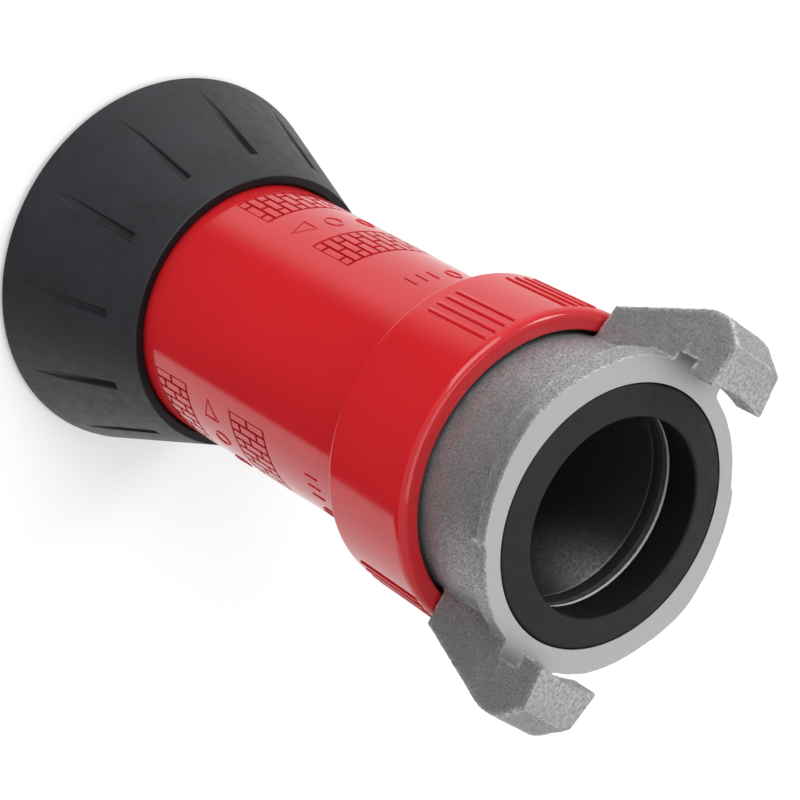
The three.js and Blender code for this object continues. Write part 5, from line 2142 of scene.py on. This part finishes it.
@dataclass
class Studio:
    """Pale floor, soft lights, surroundings and camera. Lengths are metres."""

    floor_size: float = 8.0
    floor_tone: float = 0.9
    floor_glow: float = 0.16           # lifts the floor to near white
    world_strength: float = 0.72
    surround: float = 1.25             # brightness that glossy faces see behind and beside
    shade_middle: float = -76.0        # the darker side of the room, in degrees
    shade_half: float = 65.0
    camera_azimuth: float = -88.97
    camera_elevation: float = 45.77
    camera_roll: float = -119.99
    camera_distance: float = 0.7130
    aim_height: float = 0.1012
    aim_side: float = 0.00096
    lens: float = 138.15
    sensor: float = 36.0
    lights: tuple[Softbox, ...] = (
        Softbox("key", -128.0, 24.0, 1.3, 0.9, 0.9, 9.0),
        Softbox("back", 92.0, 48.0, 1.3, 0.8, 0.8, 2.0),
        Softbox("rake", 172.0, 40.0, 1.3, 0.35, 0.35, 3.2),
        Softbox("top", -60.0, 80.0, 1.5, 1.2, 1.2, 6.0),
    )

    def build(self) -> None:
        """Makes the camera, the floor, the surroundings and the lights."""
        self.make_camera()
        self.make_floor()
        self.make_world()
        for light in self.lights:
            self.make_light(light)

    def direction(self, azimuth: float, elevation: float) -> Vector:
        """Unit vector from the nozzle towards a place in the room, from degrees."""
        a, e = math.radians(azimuth), math.radians(elevation)
        return Vector((math.cos(a) * math.cos(e), math.sin(a) * math.cos(e), math.sin(e)))

    def aim(self) -> Vector:
        """The point that the camera and the lights face."""
        return Vector((self.aim_side, 0.0, self.aim_height))

    def make_camera(self) -> None:
        """A long lens that looks down on the nozzle, rolled so that its axis lies across."""
        back = self.direction(self.camera_azimuth, self.camera_elevation)
        level = (-back).cross(Vector((0, 0, 1))).normalized()
        upright = level.cross(-back)
        roll = math.radians(self.camera_roll)
        up = upright * math.cos(roll) + level * math.sin(roll)
        side = (-back).cross(up)
        data = bpy.data.cameras.new("camera")
        data.lens = self.lens
        data.sensor_width = self.sensor
        data.clip_start, data.clip_end = 0.01, 50.0
        camera = bpy.data.objects.new("camera", data)
        rotation = Matrix((side, up, back)).transposed().to_4x4()
        camera.matrix_world = Matrix.Translation(self.aim() + back * self.camera_distance) @ rotation
        bpy.context.scene.collection.objects.link(camera)
        bpy.context.scene.camera = camera

    def make_floor(self) -> None:
        """A plain pale floor that glossy faces don't pick up."""
        half = self.floor_size / 2
        mesh = bpy.data.meshes.new("floor")
        mesh.from_pydata([(-half, -half, 0), (half, -half, 0), (half, half, 0), (-half, half, 0)], [],
                         [(0, 1, 2, 3)])
        floor = new_object("floor", mesh)
        graph = SurfaceGraph("pale floor", Roughness=0.9)
        graph.shader.inputs["Base Color"].default_value = (*[self.floor_tone] * 3, 1.0)
        graph.shader.inputs["Emission Color"].default_value = (1.0, 1.0, 1.0, 1.0)
        graph.shader.inputs["Emission Strength"].default_value = self.floor_glow
        floor.data.materials.append(graph.material)
        floor.visible_glossy = False
        floor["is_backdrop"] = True

    def make_world(self) -> None:
        """Even light from all round, with one darker side low in the room for reflections."""
        world = bpy.data.worlds.new("studio")
        bpy.context.scene.world = world
        world.use_nodes = True
        tree = world.node_tree
        tree.nodes.clear()
        background = tree.nodes.new("ShaderNodeBackground")
        output = tree.nodes.new("ShaderNodeOutputWorld")
        tree.links.new(background.outputs[0], output.inputs["Surface"])
        parts = tree.nodes.new("ShaderNodeSeparateXYZ")
        tree.links.new(tree.nodes.new("ShaderNodeTexCoord").outputs["Generated"], parts.inputs[0])

        def math_node(operation: str, a: object, b: object = 0.0) -> Socket:
            """The result of a math node on two numbers or sockets."""
            node = tree.nodes.new("ShaderNodeMath")
            node.operation = operation
            for socket, value in zip(node.inputs, (a, b)):
                if isinstance(value, Socket):
                    tree.links.new(value, socket)
                else:
                    socket.default_value = value
            return node.outputs[0]

        def ramp(value: Socket, start: float, end: float) -> Socket:
            """0 at start and 1 at end, with a soft change between."""
            node = tree.nodes.new("ShaderNodeMapRange")
            node.interpolation_type = "SMOOTHSTEP"
            tree.links.new(value, node.inputs["Value"])
            node.inputs["From Min"].default_value = start
            node.inputs["From Max"].default_value = end
            return node.outputs[0]

        azimuth = math_node("ARCTAN2", parts.outputs["Y"], parts.outputs["X"])
        turned_away = math_node("SUBTRACT", azimuth, math.radians(self.shade_middle))
        off = math_node("WRAP", turned_away, math.pi)
        tree.nodes[-1].inputs[2].default_value = -math.pi
        half = math.radians(self.shade_half)
        crisp, soft = math.radians(2), math.radians(32)
        beyond = ramp(off, half - crisp, half + crisp)
        before = ramp(off, -half + soft / 2, -half - soft / 2)
        bright = math_node("MAXIMUM", beyond, before)
        low = ramp(parts.outputs["Z"], 0.02, -0.02)
        below = math_node("MULTIPLY", bright, self.surround)
        above = math_node("MULTIPLY", math_node("SUBTRACT", 1.0, low), self.world_strength)
        level = math_node("ADD", above, math_node("MULTIPLY", below, low))
        tree.links.new(level, background.inputs["Strength"])

    def make_light(self, box: Softbox) -> None:
        """One soft area light.

        Args:
            box: Its size, place and power.
        """
        data = bpy.data.lights.new(box.name, "AREA")
        data.shape = "RECTANGLE"
        data.size, data.size_y = box.width, box.height
        data.energy = box.power
        light = bpy.data.objects.new(box.name, data)
        back = self.direction(box.azimuth, box.elevation)
        light.location = self.aim() + back * box.distance
        light.rotation_mode = "QUATERNION"
        light.rotation_quaternion = (-back).to_track_quat("-Z", "Y")
        bpy.context.scene.collection.objects.link(light)


def main(frame: dict, packed: tuple[Vector, Vector]) -> None:
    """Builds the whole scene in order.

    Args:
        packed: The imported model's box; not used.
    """
    bpy.context.scene.view_settings.view_transform = "Standard"
    Studio().build()
    for assembly in (Coupling(), Collar(), Barrel(), Bumper(), WaterWay()):
        LOG.info("building %s", type(assembly).__name__)
        assembly.build()
    dress_small_parts(frame["nodes"])


if __name__ == "__main__":
    logging.basicConfig(level=logging.INFO, format="%(message)s")
    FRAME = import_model()
    main(FRAME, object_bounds())
